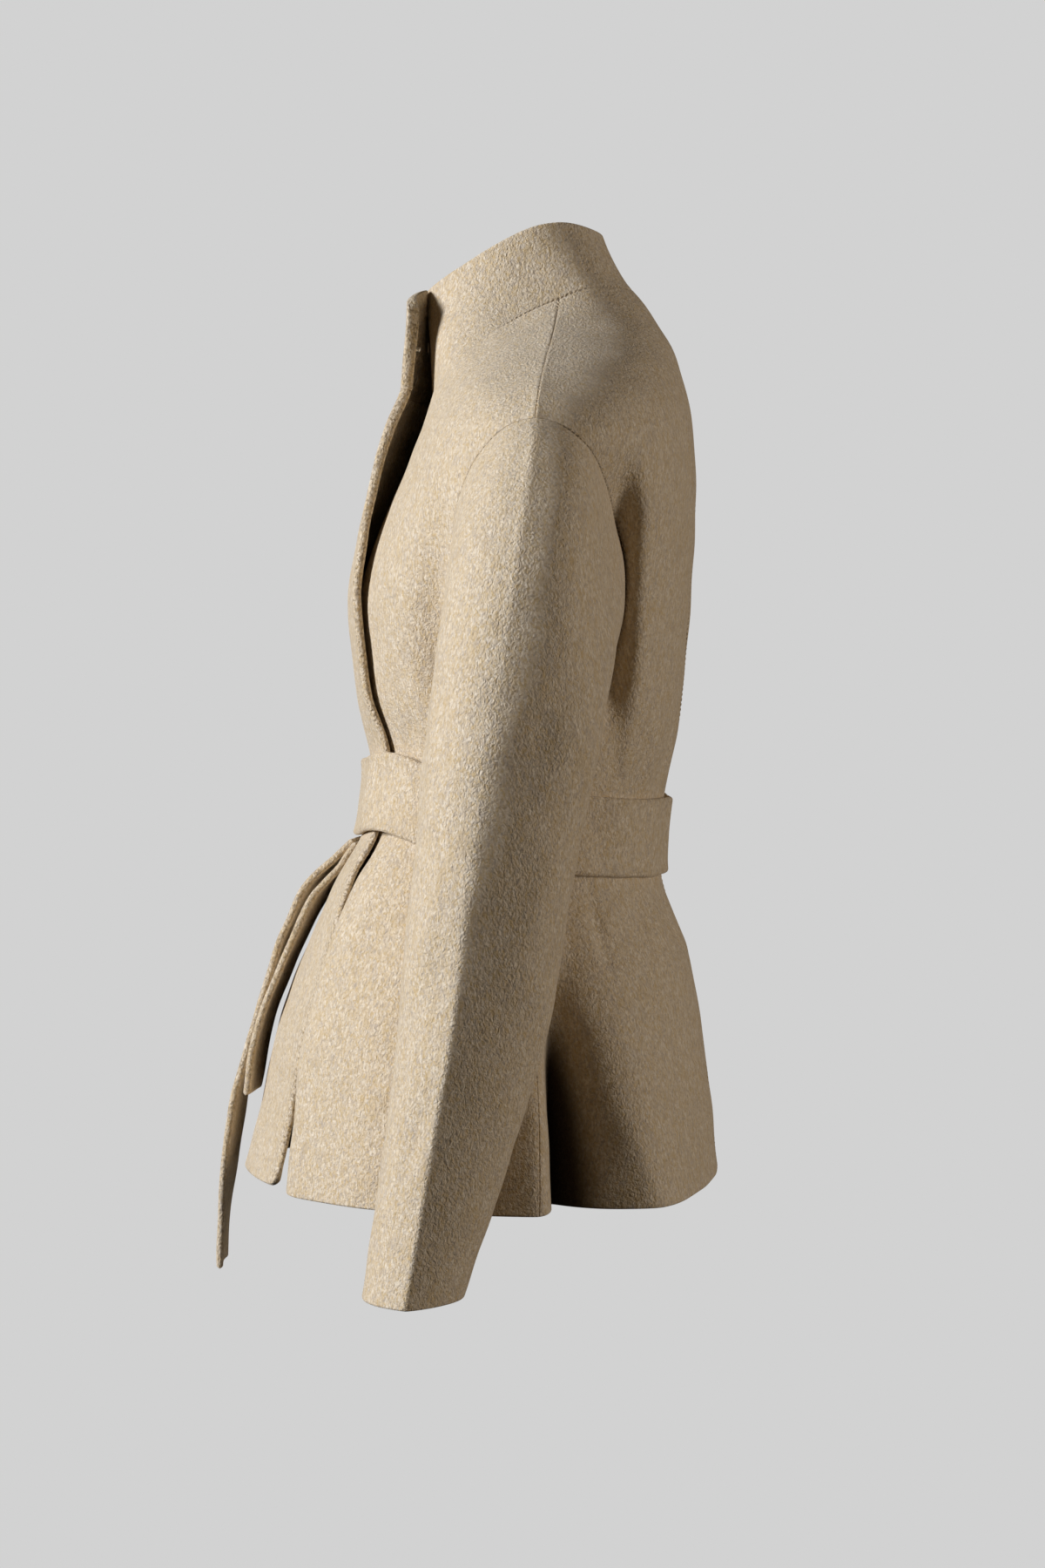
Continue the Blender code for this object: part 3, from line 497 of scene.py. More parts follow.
def pleat_shade_share(turn, height):
    """How deep in a pleat the cloth lies, for its painted shade: 0 on open cloth, 1 where pushed far in,
    softly between.
    """
    return smooth((-fold_push(turn, height) - DEEP_FROM) / (DEEP_FULL - DEEP_FROM))


def unevenness(points):
    """A few long sine waves through space, in seeded directions, added up."""
    random = np.random.default_rng(UNEVEN_SEED)
    push = np.zeros(points.shape[:-1])
    for size in UNEVEN_SIZES:
        for _ in range(2):
            direction = unit(random.normal(size=3)) * (2 * math.pi / size)
            push = push + np.sin(points @ direction + random.uniform(0.0, 2 * math.pi))
    return UNEVEN_DEPTH * push


def back_hollow(turn, height):
    """How far the back runs in behind each sleeve: a hill over the turn, from belt to shoulder."""
    off = np.degrees(np.arccos(np.cos(turn))) - HOLLOW_TURN
    share = smooth((height - HOLLOW_LOW) / HOLLOW_RISE) * smooth((HOLLOW_HIGH - height) / HOLLOW_FADE)
    return HOLLOW_IN * share * bump(off, np.where(off < 0.0, HOLLOW_BEFORE, HOLLOW_AFTER))


def tilt(turn, y, height):
    """A ring point's real height: near the waist rings slope with the belt, and rise at the left front."""
    off = np.degrees(np.arctan2(np.sin(turn), np.cos(turn))) - BELT_RISE_TURN
    move = BELT_RISE * bump(off, BELT_RISE_REACH) - BELT_SLOPE * y
    return height + move * bump(height - WAIST, TILT_REACH)


def body(turn, height, out=0.0):
    """The coat's outer face: a squarish ellipse at each height, its folds, and a push outward."""
    half_width = along(BODY, "half_width", height)
    side_y = along(BODY, "side_y", height)
    ahead = side_y - along(BODY, "front_y", height)
    behind = along(BODY, "back_y", height) - side_y
    sine, cosine = np.sin(turn), np.cos(turn)
    front = cosine > 0
    depth = np.where(front, ahead, behind)
    power = np.where(front, 2.0 / along(BODY, "square", height), 1.0)
    facing = np.stack([np.sign(sine) * np.abs(sine) ** (2.0 - power) / half_width,
                       -np.sign(cosine) * np.abs(cosine) ** (2.0 - power) / depth], -1)
    facing = unit(facing)
    push = fold_push(turn, height) + out
    hollow = back_hollow(turn, height)
    x = half_width * np.sign(sine) * np.abs(sine) ** power + push * facing[..., 0] - np.sign(sine) * hollow
    y = side_y - depth * np.sign(cosine) * np.abs(cosine) ** power + push * facing[..., 1]
    y = y - HOLLOW_FORWARD * hollow
    return np.stack([x, y, tilt(turn, y, height)], -1)


print("creases:", len(BODICE_FOLDS) + len(FINE_CREASES), "and skirt folds:", len(SKIRT_FOLDS))

# %% [markdown]
# Cloth has two faces and round edges. A shell is made from one grid of outer points: its middle lies half a
# wall further in, and both faces stand off that middle by half the wall. Towards an edge the stand-off falls
# to nothing along a quarter circle, so outer and inner faces meet there and the edge is round.

# %% Shells of cloth
CLOTH = 0.003
ROUND_STEPS = 7
WELD_DIGITS = 7


def normals(points, ring):
    """Unit normals of a grid: the cross product of its steps along rows and columns."""
    if ring:
        points = np.concatenate([points[:, -2:-1], points, points[:, 1:2]], 1)
    across = np.gradient(points, axis=1)
    upward = np.gradient(points, axis=0)
    facing = unit(np.cross(across, upward))
    return facing[:, 1:-1] if ring else facing


def run_across(points, axis):
    """Distance along a grid's rows or columns from its first line of points."""
    step = np.linalg.norm(np.diff(points, axis=axis), axis=-1)
    start = np.zeros_like(np.take(step, [0], axis=axis))
    return np.cumsum(np.concatenate([start, step], axis=axis), axis=axis)


def quarter_round(distance, reach):
    """Height of a quarter circle of one reach: 0 at the edge, 1 from one reach on."""
    left = 1.0 - np.clip(distance / reach, 0.0, 1.0)
    return np.sqrt(1.0 - left * left)


def welded(name, points, quads, material, shares=()):
    """An object from points and quads: points in one place become one, and a shrunk quad loses corners.

    Each share is a name and one number for each point, kept on the mesh for a material to read.
    """
    _, first, index = np.unique(points.round(WELD_DIGITS), axis=0, return_index=True, return_inverse=True)
    faces = [list(dict.fromkeys(face)) for face in index.reshape(-1)[quads].tolist()]
    mesh = bpy.data.meshes.new(name)
    mesh.from_pydata(points[first].tolist(), [], [face for face in faces if len(face) > 2])
    for label, share in shares:
        kept = share[first].astype(np.float32)
        mesh.attributes.new(label, "FLOAT", "POINT").data.foreach_set("value", kept)
    mesh.shade_smooth()
    mesh.materials.append(material)
    piece = bpy.data.objects.new(name, mesh)
    bpy.context.scene.collection.objects.link(piece)
    return piece


Rounds = namedtuple("Rounds", "left right low high")


def cloth_shell(name, outer, wall, rounds, material, ring=False, flip=False, edge=0.0, deep=0.0):
    """A closed shell: both faces half a wall off the middle, rounded towards each edge that has a reach."""
    facing = normals(outer, ring) * (-1.0 if flip else 1.0)
    outer = outer + facing * unevenness(outer)[..., None]
    across = run_across(outer, 1)
    upward = run_across(outer, 0)
    wall = np.broadcast_to(wall, outer.shape[:2])
    shape = np.ones(outer.shape[:2])
    sides = [(across, rounds.left), (across[:, -1:] - across, rounds.right),
             (upward, rounds.low), (upward[-1:] - upward, rounds.high)]
    for distance, reach in sides:
        if reach > 0.0:
            shape = shape * quarter_round(distance, reach)
    middle = outer - facing * (wall / 2)[..., None]
    stand = facing * (shape * wall / 2)[..., None]
    rows, columns = shape.shape
    points = np.concatenate([(middle + stand).reshape(-1, 3), (middle - stand).reshape(-1, 3)])
    quads = grid_faces(rows, columns)
    back = quads[:, ::-1] + rows * columns
    quads = np.concatenate([quads[:, ::-1], quads + rows * columns] if flip else [quads, back])
    # Kept numbers for painted shade: specks near an edge, and how deep the cloth lies in a pleat.
    shares = [(EDGE_NAME, edge), (DEEP_NAME, deep)]
    shares = [(label, np.tile(np.broadcast_to(share, shape.shape).reshape(-1), 2)) for label, share in shares]
    return welded(name + "_cloth", points, quads, material, shares)


def place_piece(piece, node):
    """Rides on the coat's one body and stands for its solid, which it hides."""
    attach(piece, "root")
    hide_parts(node)
    return piece


def tell_area(name, piece):
    """Prints half of a closed shell's area, which is the area of its one layer of cloth."""
    size = np.empty(len(piece.data.polygons), np.float32)
    piece.data.polygons.foreach_get("area", size)
    print(name, "cloth area", round(float(size.sum()) / 2, 4), "m2")


def steps(length, count, low=0.0, high=0.0):
    """Shares from 0 to 1 of a length: even steps, with finer ones inside a reach at either end."""
    turn = 1.0 - np.cos(np.linspace(0.0, math.pi / 2, ROUND_STEPS))[:-1]
    first = turn * low / length if low > 0.0 else np.zeros(1)
    last = 1.0 - turn[::-1] * high / length if high > 0.0 else np.ones(1)
    middle = np.linspace(low / length, 1.0 - high / length, count)
    if low == 0.0:
        middle = middle[1:]
    if high == 0.0:
        middle = middle[:-1]
    return np.concatenate([first, middle, last])


print("cloth wall:", CLOTH * 1000, "mm")

# %% [markdown]
# The two fronts are one cut. The right one laps over the left: its folded edge stands off at the neck and
# lies flat under the belt. Below the belt the left front runs in under the right one. Each panel is a grid
# from the centre edge to the side seam, the armhole and the shoulder.

# %% Panel outlines
Edge = namedtuple("Edge", "height overlap lift recess recess_from bead")
EDGES = [
    Edge(-0.597, 0.090, -0.0146, 0.052, 0.140, 0.0048),
    Edge(-0.540, 0.090, -0.0200, 0.052, 0.134, 0.0048),
    Edge(-0.490, 0.089, -0.0190, 0.046, 0.125, 0.0048),
    Edge(-0.440, 0.087, -0.0140, 0.046, 0.112, 0.0048),
    Edge(-0.405, 0.085, -0.0050, 0.024, 0.104, 0.0048),
    Edge(-0.378, 0.083, 0.0016, 0.000, 0.100, 0.0046),
    Edge(-0.326, 0.083, 0.0016, 0.000, 0.100, 0.0046),
    Edge(-0.300, 0.083, 0.0030, 0.000, 0.100, 0.0052),
    Edge(-0.240, 0.085, 0.0040, 0.000, 0.100, 0.0058),
    Edge(-0.190, 0.085, 0.0055, 0.000, 0.100, 0.0062),
    Edge(-0.144, 0.080, 0.0125, 0.000, 0.100, 0.0068),
    Edge(-0.100, 0.068, 0.0190, 0.000, 0.100, 0.0074),
    Edge(-0.060, 0.052, 0.0170, 0.000, 0.100, 0.0080),
    Edge(0.010, 0.046, 0.0170, 0.000, 0.100, 0.0084),
]
RECESS_TO = 0.050
LAYER = 0.0046
LAYER_FADE = 0.10
LIFT_FROM = math.radians(-18.0)
OVER_FROM = math.radians(-80.0)
OVER_FULL = math.radians(-48.0)
ARMHOLE_Y = 0.0225
ARMHOLE_HEIGHT = -0.1875
ARMHOLE_HALF_DEPTH = 0.058
ARMHOLE_HALF_HEIGHT = 0.0975
SIDE_TURN_HEM = math.radians(92.5)
SHOULDER_TURN = math.radians(90.0)
NECK_BACK = 0.008
NECK_DROP = 0.074
NECK_POWER = 2.9
NECK_PASSES = 6
HOLE_SHARE = 0.93
HOLE_STEPS = 64
SEAM_LENGTH = 0.312
SEAM_STEPS = 104
SHOULDER_LENGTH = 0.17
SHOULDER_STEPS = 40
EDGE_REACH = 0.0016
SEAM_REACH = 0.0008


def edge_turn(height):
    """The turn of the over-front's edge past centre front."""
    share = along(EDGES, "overlap", height) / along(BODY, "half_width", height)
    return np.arcsin(share ** (along(BODY, "square", height) / 2.0))


def over_push(turn, height):
    """The right front's place above the left one: the layer it lies on, nothing at the side seam and hem."""
    share = smooth((turn - OVER_FROM) / (OVER_FULL - OVER_FROM))
    return LAYER * share * smooth((height - HEM) / LAYER_FADE)


def over_front(turn, height):
    """The right front: on top of the left one, its edge standing off."""
    points = body(turn, height, over_push(turn, height))
    share = smooth((turn - LIFT_FROM) / (edge_turn(height) - LIFT_FROM))
    points[..., 1] -= along(EDGES, "lift", height) * share
    return points


def under_front(turn, height):
    """The left front: below the belt it runs further in under the right one."""
    points = body(turn, height)
    start = along(EDGES, "recess_from", height)
    share = smooth((start - points[..., 0]) / (start - RECESS_TO))
    points[..., 1] += np.maximum(along(EDGES, "recess", height), 0.0) * share
    return points


def neck_height(turn):
    """The neckline: high at the back, low at the front."""
    return NECK_BACK - NECK_DROP * ((1.0 + np.cos(turn)) / 2.0) ** NECK_POWER


def armhole_turn(angle):
    """Turn and height of the left armhole's oval: 0 at its back, a quarter up at the shoulder."""
    height = ARMHOLE_HEIGHT + ARMHOLE_HALF_HEIGHT * np.sin(angle)
    y = ARMHOLE_Y + ARMHOLE_HALF_DEPTH * np.cos(angle)
    side_y = along(BODY, "side_y", height)
    ahead = side_y - along(BODY, "front_y", height)
    behind = along(BODY, "back_y", height) - side_y
    cosine = np.where(y < side_y, (side_y - y) / ahead, (side_y - y) / behind)
    return np.arccos(cosine), height


def neck_centre_height(centre):
    """The neckline's height at a panel's centre edge, whose turn depends on it."""
    height = np.array(NECK_BACK - NECK_DROP)
    for _ in range(NECK_PASSES):
        height = neck_height(centre(height))
    return float(height)


def side_line(seam, hole, shoulder, front):
    """Turn and height up a panel's side: side seam, armhole, shoulder seam."""
    under_turn, under_height = armhole_turn(np.array(-math.pi / 2))
    seam_height = HEM + (under_height - HEM) * seam
    seam_turn = SIDE_TURN_HEM + (under_turn - SIDE_TURN_HEM) * seam
    sweep = math.pi * hole[1:]
    hole_turn, hole_height = armhole_turn(-math.pi / 2 + (-sweep if front else sweep))
    neck_side = float(neck_height(np.array(SHOULDER_TURN)))
    top_height = hole_height[-1] + (neck_side - hole_height[-1]) * shoulder[1:]
    top_turn = hole_turn[-1] + (SHOULDER_TURN - hole_turn[-1]) * shoulder[1:]
    turn = np.concatenate([seam_turn, hole_turn, top_turn])
    return turn, np.concatenate([seam_height, hole_height, top_height])


def panel_grid(share, centre, front):
    """Turn and height over one left panel: straight lines from its centre edge to its side line."""
    seam = steps(SEAM_LENGTH, SEAM_STEPS, low=EDGE_REACH)
    hole = np.linspace(0.0, 1.0, HOLE_STEPS)
    shoulder = steps(SHOULDER_LENGTH, SHOULDER_STEPS, high=SEAM_REACH)
    side_turn, side_height = side_line(seam, hole, shoulder, front)
    neck_side = side_height[-1]
    neck_centre = neck_centre_height(centre)
    under_height = side_height[len(seam) - 1]
    rise = np.concatenate([HOLE_SHARE * hole[1:], HOLE_SHARE + (1.0 - HOLE_SHARE) * shoulder[1:]])
    above = under_height + (neck_centre - under_height) * rise
    centre_height = np.concatenate([side_height[:len(seam)], above])
    centre_turn = centre(centre_height)
    turn = centre_turn[:, None] + (side_turn - centre_turn)[:, None] * share
    height = centre_height[:, None] + (side_height - centre_height)[:, None] * share
    climbed = np.concatenate([np.zeros(len(seam)), rise])
    bend = smooth((climbed - HOLE_SHARE) / (1.0 - HOLE_SHARE))[:, None]
    straight = neck_centre + (neck_side - neck_centre) * share
    return turn, height + bend * (neck_height(turn[-1:, :]) - straight)


print("neck drop:", NECK_DROP, "m, armhole:", 2 * ARMHOLE_HALF_HEIGHT, "m high")

# %% [markdown]
# A front's edge is the cloth turned over on itself, so it is a soft bead, thicker towards the neck. The wall
# swells by a hill across the edge. The hem's corner is cut round, as double-faced cloth is easier to turn so.

# %% Fronts
BEAD_REACH = 0.0085
BEAD_OUT = 0.35
BEAD_FINE = 0.004
BEAD_ROUND = 0.0036
BEAD_SPECK_REACH = 0.006
FRONT_WIDTH = 0.27
FRONT_STEPS = 92
CORNER = 0.006
CORNER_FADE = 3.0


def rounded_corner(height, distance):
    """Lifts the hem near the centre edge along a quarter circle."""
    lift = CORNER * (1.0 - quarter_round(distance, CORNER))
    return height + lift * smooth(1.0 - (height - HEM) / (CORNER_FADE * CORNER))


def front_piece(name, surface, side):
    """One front: the panel's grid on its surface, with the beaded edge."""
    share = steps(FRONT_WIDTH, FRONT_STEPS, low=BEAD_FINE, high=SEAM_REACH)[None, :]
    turn, height = panel_grid(share, lambda at: -edge_turn(at), True)
    distance = FRONT_WIDTH * share + 0.0 * turn
    height = rounded_corner(height, distance)
    outer = surface(side * turn, height)
    bead = (along(EDGES, "bead", height) - CLOTH) * bump(distance, BEAD_REACH)
    outer = outer + normals(outer, False) * (side * BEAD_OUT * bead)[..., None]
    rounds = Rounds(BEAD_ROUND, SEAM_REACH, EDGE_REACH, SEAM_REACH)
    # Near the bead the wool gets specks of painted shade.
    edge = bump(distance, BEAD_SPECK_REACH)
    piece = cloth_shell(name, outer, CLOTH + bead, rounds, WOOL, flip=side < 0, edge=edge)
    place_piece(piece, name)
    tell_area(name, piece)


front_piece("front_left", under_front, 1.0)
front_piece("front_right", over_front, -1.0)

# %% [markdown]
# The back is two panels joined at a centre-back seam. They are the same grid run from that seam to the side,
# mirrored, on the body's own surface.

# %% Backs
BACK_WIDTH = 0.26
BACK_STEPS = 120


def back_piece(name, side):
    """One back: the panel's grid from the centre-back seam to the side seam, armhole and shoulder."""
    share = steps(BACK_WIDTH, BACK_STEPS, low=SEAM_REACH, high=SEAM_REACH)[None, :]
    turn, height = panel_grid(share, lambda at: math.pi + 0.0 * at, False)
    outer = body(side * turn, height)
    rounds = Rounds(SEAM_REACH, SEAM_REACH, EDGE_REACH, SEAM_REACH)
    # How deep each point lies in a skirt pleat, for the wool's painted shade there.
    deep = pleat_shade_share(side * turn, height)
    piece = cloth_shell(name, outer, CLOTH, rounds, WOOL, flip=side > 0, deep=deep)
    place_piece(piece, name)
    tell_area(name, piece)


back_piece("back_left", 1.0)
back_piece("back_right", -1.0)

# %% [markdown]
# The stand collar carries on from the neck seam. Its top edge dips a little behind and falls to the front,
# and its two ends carry on the fronts' beaded edges. Each upright is a quadratic curve from the seam to the
# top ring.

# %% Collar
COLLAR_TOP = 0.0535
COLLAR_FALL = 0.57
COLLAR_FALL_Y = 0.014
COLLAR_FALL_SOFT = 0.020
COLLAR_HALF_WIDTH = 0.0510
COLLAR_SIDE_Y = 0.0020
COLLAR_FRONT_Y = -0.0660
COLLAR_BACK_Y = 0.0545
COLLAR_BACK_FROM = 0.026
COLLAR_BACK_FALL = 0.006
COLLAR_BELLY = 0.50
COLLAR_BELLY_RISE = -0.20
COLLAR_LIFT = 0.0257
COLLAR_LIFT_FROM = 0.0
COLLAR_END_TURN = math.radians(40.0)
COLLAR_LENGTH = 0.48
COLLAR_STEPS = 240
COLLAR_WIDTH = 0.075
COLLAR_RISE_STEPS = 34
COLLAR_TUCK = 0.018
COLLAR_CORNER = 0.014
NECK_END = float(edge_turn(neck_centre_height(edge_turn)))
COLLAR_SWEEP = 2 * math.pi + 2 * NECK_END


def collar_top(turn, out):
    """The collar's top ring: an ellipse that falls softly to the front, and a little at the back."""
    sine, cosine = np.sin(turn), np.cos(turn)
    reach = np.where(cosine > 0, COLLAR_SIDE_Y - COLLAR_FRONT_Y, COLLAR_BACK_Y - COLLAR_SIDE_Y)
    facing = unit(np.stack([sine / COLLAR_HALF_WIDTH, -cosine / reach], -1))
    x = COLLAR_HALF_WIDTH * sine + out * facing[..., 0]
    y = COLLAR_SIDE_Y - reach * cosine + out * facing[..., 1]
    ahead = COLLAR_FALL_Y - y
    fall = COLLAR_FALL * (ahead + np.sqrt(ahead ** 2 + COLLAR_FALL_SOFT ** 2)) / 2.0
    behind = np.maximum(y - COLLAR_BACK_FROM, 0.0) / (COLLAR_BACK_Y - COLLAR_BACK_FROM)
    fall = fall + COLLAR_BACK_FALL * behind ** 2
    return np.stack([x, y, COLLAR_TOP - fall], -1)


def collar_surface(turn, rise):
    """The collar from its neck seam up to its top edge; turns past half a circle are the over end."""
    over = turn > math.pi
    around = np.where(over, turn - 2 * math.pi, turn)
    seam = neck_height(around)
    low = np.where(over[..., None], over_front(around, seam), under_front(around, seam))
    spread = (math.pi + COLLAR_END_TURN) / (math.pi + NECK_END)
    share = smooth((around - COLLAR_LIFT_FROM) / (NECK_END - COLLAR_LIFT_FROM))
    out = np.where(over, over_push(around, seam) + COLLAR_LIFT * share, 0.0)
    high = collar_top(math.pi + (turn - math.pi) * spread, out)
    middle = low + (high - low) * COLLAR_BELLY
    middle[..., 2] += (high - low)[..., 2] * COLLAR_BELLY_RISE
    u = rise[..., None]
    return low * (1 - u) ** 2 + 2 * middle * u * (1 - u) + high * u * u


collar_share = steps(COLLAR_LENGTH, COLLAR_STEPS, low=BEAD_FINE, high=BEAD_FINE)
collar_rise = steps(COLLAR_WIDTH, COLLAR_RISE_STEPS, low=SEAM_REACH, high=EDGE_REACH)
collar_rise = collar_rise * (1.0 + COLLAR_TUCK) - COLLAR_TUCK
collar_turn, collar_rise = np.meshgrid(-NECK_END + COLLAR_SWEEP * collar_share, collar_rise)
collar_run = COLLAR_LENGTH * (collar_turn + NECK_END) / COLLAR_SWEEP
collar_edge = np.minimum(collar_run, COLLAR_LENGTH - collar_run)
collar_cut = COLLAR_CORNER / COLLAR_WIDTH * (1.0 - quarter_round(collar_edge, COLLAR_CORNER))
collar_points = collar_surface(collar_turn, collar_rise * (1.0 - collar_cut))
collar_bead = (EDGES[-1].bead - CLOTH) * bump(collar_edge, BEAD_REACH)
collar_points = collar_points + normals(collar_points, False) * (BEAD_OUT * collar_bead)[..., None]
collar_rounds = Rounds(BEAD_ROUND, BEAD_ROUND, SEAM_REACH, EDGE_REACH)
# Near its ends' beads the collar gets specks of painted shade.
collar = cloth_shell("collar", collar_points, CLOTH + collar_bead, collar_rounds, WOOL,
                     edge=bump(collar_edge, BEAD_SPECK_REACH))
place_piece(collar, "collar")
tell_area("collar", collar)

# %% [markdown]
# A dropped sleeve leaves the armhole nearly level, bends over the shoulder and then hangs. Its outer fold is
# pressed, so its rings are pointed there, and rounder towards the top. The cap is a cubic curve from the
# armhole to the first hanging ring.

# %% Sleeves
Arm = namedtuple("Arm", "height centre_x centre_y half_out half_in half_depth crease")
SLEEVE = [
    Arm(-0.637, 0.2670, -0.0500, 0.0440, 0.0480, 0.0320, 0.000),
    Arm(-0.584, 0.2630, -0.0370, 0.0465, 0.0580, 0.0367, 0.004),
    Arm(-0.540, 0.2600, -0.0270, 0.0485, 0.0645, 0.0407, 0.007),
    Arm(-0.480, 0.2555, -0.0145, 0.0510, 0.0750, 0.0464, 0.009),
    Arm(-0.405, 0.2490, -0.0050, 0.0535, 0.0940, 0.0500, 0.009),
    Arm(-0.350, 0.2430, 0.0020, 0.0555, 0.0925, 0.0515, 0.009),
    Arm(-0.300, 0.2365, 0.0090, 0.0565, 0.0770, 0.0555, 0.009),
]
SLEEVE_END = SLEEVE[0].height
CAP_END = SLEEVE[-1].height
CREASE_POWER = 1.40
CREASE_SOFT = 0.12
CREASE_SOFT_TOP = 0.80
CREASE_SOFT_FROM = -0.470
CAP_SLOPE_TOP = math.radians(34.0)
CAP_SLOPE_LOW = math.radians(12.0)
CAP_START = 0.95
CAP_FINISH = 0.95
CAP_LENGTH = 0.13
CAP_STEPS = 44
ARM_LEAN = (0.13, -0.14, -1.0)
ARM_LENGTH = 0.34
ARM_STEPS = 96
SLEEVE_COLUMNS = 145
RIGHT_SHIFT = 9.0
PRESS_RISE = 0.0040
PRESS_REACH = 0.017
PRESS_SOFT = 0.004
PRESS_FROM = 0.6
PRESS_FADE = 0.7
ArmCrease = namedtuple("ArmCrease", "angle_from from_run angle_to to_run reach depth")
ARM_CREASES = [
    ArmCrease(62.0, 0.62, 40.0, 1.10, 11.0, -0.0024),
    ArmCrease(84.0, 0.70, 70.0, 1.25, 12.0, -0.0020),
    ArmCrease(30.0, 1.18, 52.0, 1.50, 12.0, 0.0016),
    ArmCrease(-40.0, 0.72, -26.0, 1.16, 12.0, -0.0020),
    ArmCrease(-64.0, 1.05, -40.0, 1.48, 13.0, 0.0016),
    ArmCrease(110.0, 1.10, 92.0, 1.52, 14.0, -0.0026),
    ArmCrease(140.0, 0.80, 150.0, 1.30, 16.0, -0.0030),
    ArmCrease(-120.0, 0.90, -140.0, 1.36, 15.0, 0.0024),
    ArmCrease(18.0, 1.55, 34.0, 1.86, 12.0, -0.0012),
]


def sleeve_ring(angle, height):
    """The left sleeve's ring below the armhole: 0 at the outer crease, a quarter at the front."""
    sine, cosine = np.sin(angle), np.cos(angle)
    extra = np.where(cosine > 0, CREASE_POWER - 1.0, 0.0) / 2.0
    rise = smooth((height - CREASE_SOFT_FROM) / (CAP_END - CREASE_SOFT_FROM))
    soft = (CREASE_SOFT + (CREASE_SOFT_TOP - CREASE_SOFT) * rise) ** 2
    keen = sine * ((sine ** 2 + soft) / (1.0 + soft)) ** extra
    ahead = np.clip(cosine, 0.0, 1.0) ** 2 * along(SLEEVE, "crease", height)
    ahead = ahead + along(SLEEVE, "half_depth", height) * keen
    half = np.where(cosine > 0, along(SLEEVE, "half_out", height), along(SLEEVE, "half_in", height))
    x = along(SLEEVE, "centre_x", height) + half * cosine
    y = along(SLEEVE, "centre_y", height) - ahead
    return np.stack([x, y, height + 0.0 * x], -1)


def sleeve_surface(angle, run):
    """The left sleeve: run 0 at the armhole seam, 1 at the end of the cap, 2 at the cuff."""
    turn, height = armhole_turn(angle + math.pi / 2)
    start = body(turn, height)
    low = np.minimum(CAP_END, CAP_END + (SLEEVE_END - CAP_END) * (run - 1.0))
    finish = sleeve_ring(angle, low)
    share = (1.0 - np.cos(angle)) / 2.0
    slope = CAP_SLOPE_TOP + (CAP_SLOPE_LOW - CAP_SLOPE_TOP) * share
    leave = np.stack([np.cos(slope), 0.0 * slope, -np.sin(slope)], -1)
    arrive = unit(np.array(ARM_LEAN))
    chord = np.linalg.norm(finish - start, axis=-1, keepdims=True)
    u = np.clip(run, 0.0, 1.0)[..., None]
    cap = (1 + 2 * u) * (1 - u) ** 2 * start + u * u * (3 - 2 * u) * finish
    cap = cap + chord * (u * (1 - u) ** 2 * CAP_START * leave + u * u * (u - 1) * CAP_FINISH * arrive)
    return np.where((run > 1.0)[..., None], finish, cap)


def arm_push(angle, run, turned):
    """A pressed ridge, then soft troughs and ridges; the other sleeve has these shifted by a turn."""
    degrees = np.degrees(angle)
    off = np.abs(angle) * along(SLEEVE, "half_out", CAP_END)
    push = PRESS_RISE * np.exp(-np.sqrt(off ** 2 + PRESS_SOFT ** 2) / PRESS_REACH)
    push = push * smooth((run - PRESS_FROM) / PRESS_FADE)
    for row in ARM_CREASES:
        on = (run - row.from_run) / (row.to_run - row.from_run)
        centre = row.angle_from + (row.angle_to - row.angle_from) * np.clip(on, 0.0, 1.0) + turned
        off = (degrees - centre + 180.0) % 360.0 - 180.0
        swell = smooth(on * RISE_HIGH) * smooth((1.0 - on) * RISE_HIGH)
        push = push + row.depth * swell * bump(off, row.reach)
    return push


def sleeve_piece(name, side, turned):
    """One sleeve: a ring of angles by a run from armhole to cuff, mirrored for the right."""
    cap = steps(CAP_LENGTH, CAP_STEPS, low=SEAM_REACH)
    arm = 1.0 + steps(ARM_LENGTH, ARM_STEPS, high=EDGE_REACH)[1:]
    angle, run = np.meshgrid(np.linspace(-math.pi, math.pi, SLEEVE_COLUMNS), np.concatenate([cap, arm]))
    outer = sleeve_surface(angle, run)
    outer = outer + normals(outer, True) * arm_push(angle, run, turned)[..., None]
    outer = outer * np.array([side, 1.0, 1.0])
    rounds = Rounds(0.0, 0.0, SEAM_REACH, EDGE_REACH)
    piece = cloth_shell(name, outer, CLOTH, rounds, WOOL, ring=True, flip=side < 0)
    place_piece(piece, name)
    tell_area(name, piece)


sleeve_piece("sleeve_left", 1.0, 0.0)
sleeve_piece("sleeve_right", -1.0, RIGHT_SHIFT)

# %% [markdown]
# The belt is a doubled strip of the same wool, tied flat. It lies on the body's rings, moved out past the
# fronts where they lap. The knot is one more turn of the strip over the band, and two tails hang from it.
# A tied strip is never quite flat, so a few sine waves ripple it.

# %% Belt band
BELT_HALF = 0.026
BELT_THICK = 0.0048
BELT_EASE = 0.0005
BELT_STEP_PAST = 0.05
BELT_STEP_REACH = 0.50
BELT_ROUND = 0.0022
BELT_ROWS = 15
BELT_COLUMNS = 361
Wave = namedtuple("Wave", "rate slant start")
BELT_WAVES = [Wave(9.0, 60.0, 0.0), Wave(17.0, 0.0, -1.0)]
BELT_WAVE = 0.0005
BELT_SPECKS = 0.6
BELT_SPECK_REACH = 0.003
WAIST_HALF_WIDTH = float(along(BODY, "half_width", WAIST))
KNOT_X = -0.052
KNOT_TURN = math.asin(KNOT_X / WAIST_HALF_WIDTH)


def ripple(rows, run, across):
    """Sum of sine waves along a strip, each slanted across it."""
    return sum(np.sin(row.rate * run + row.slant * across + row.start) for row in rows)


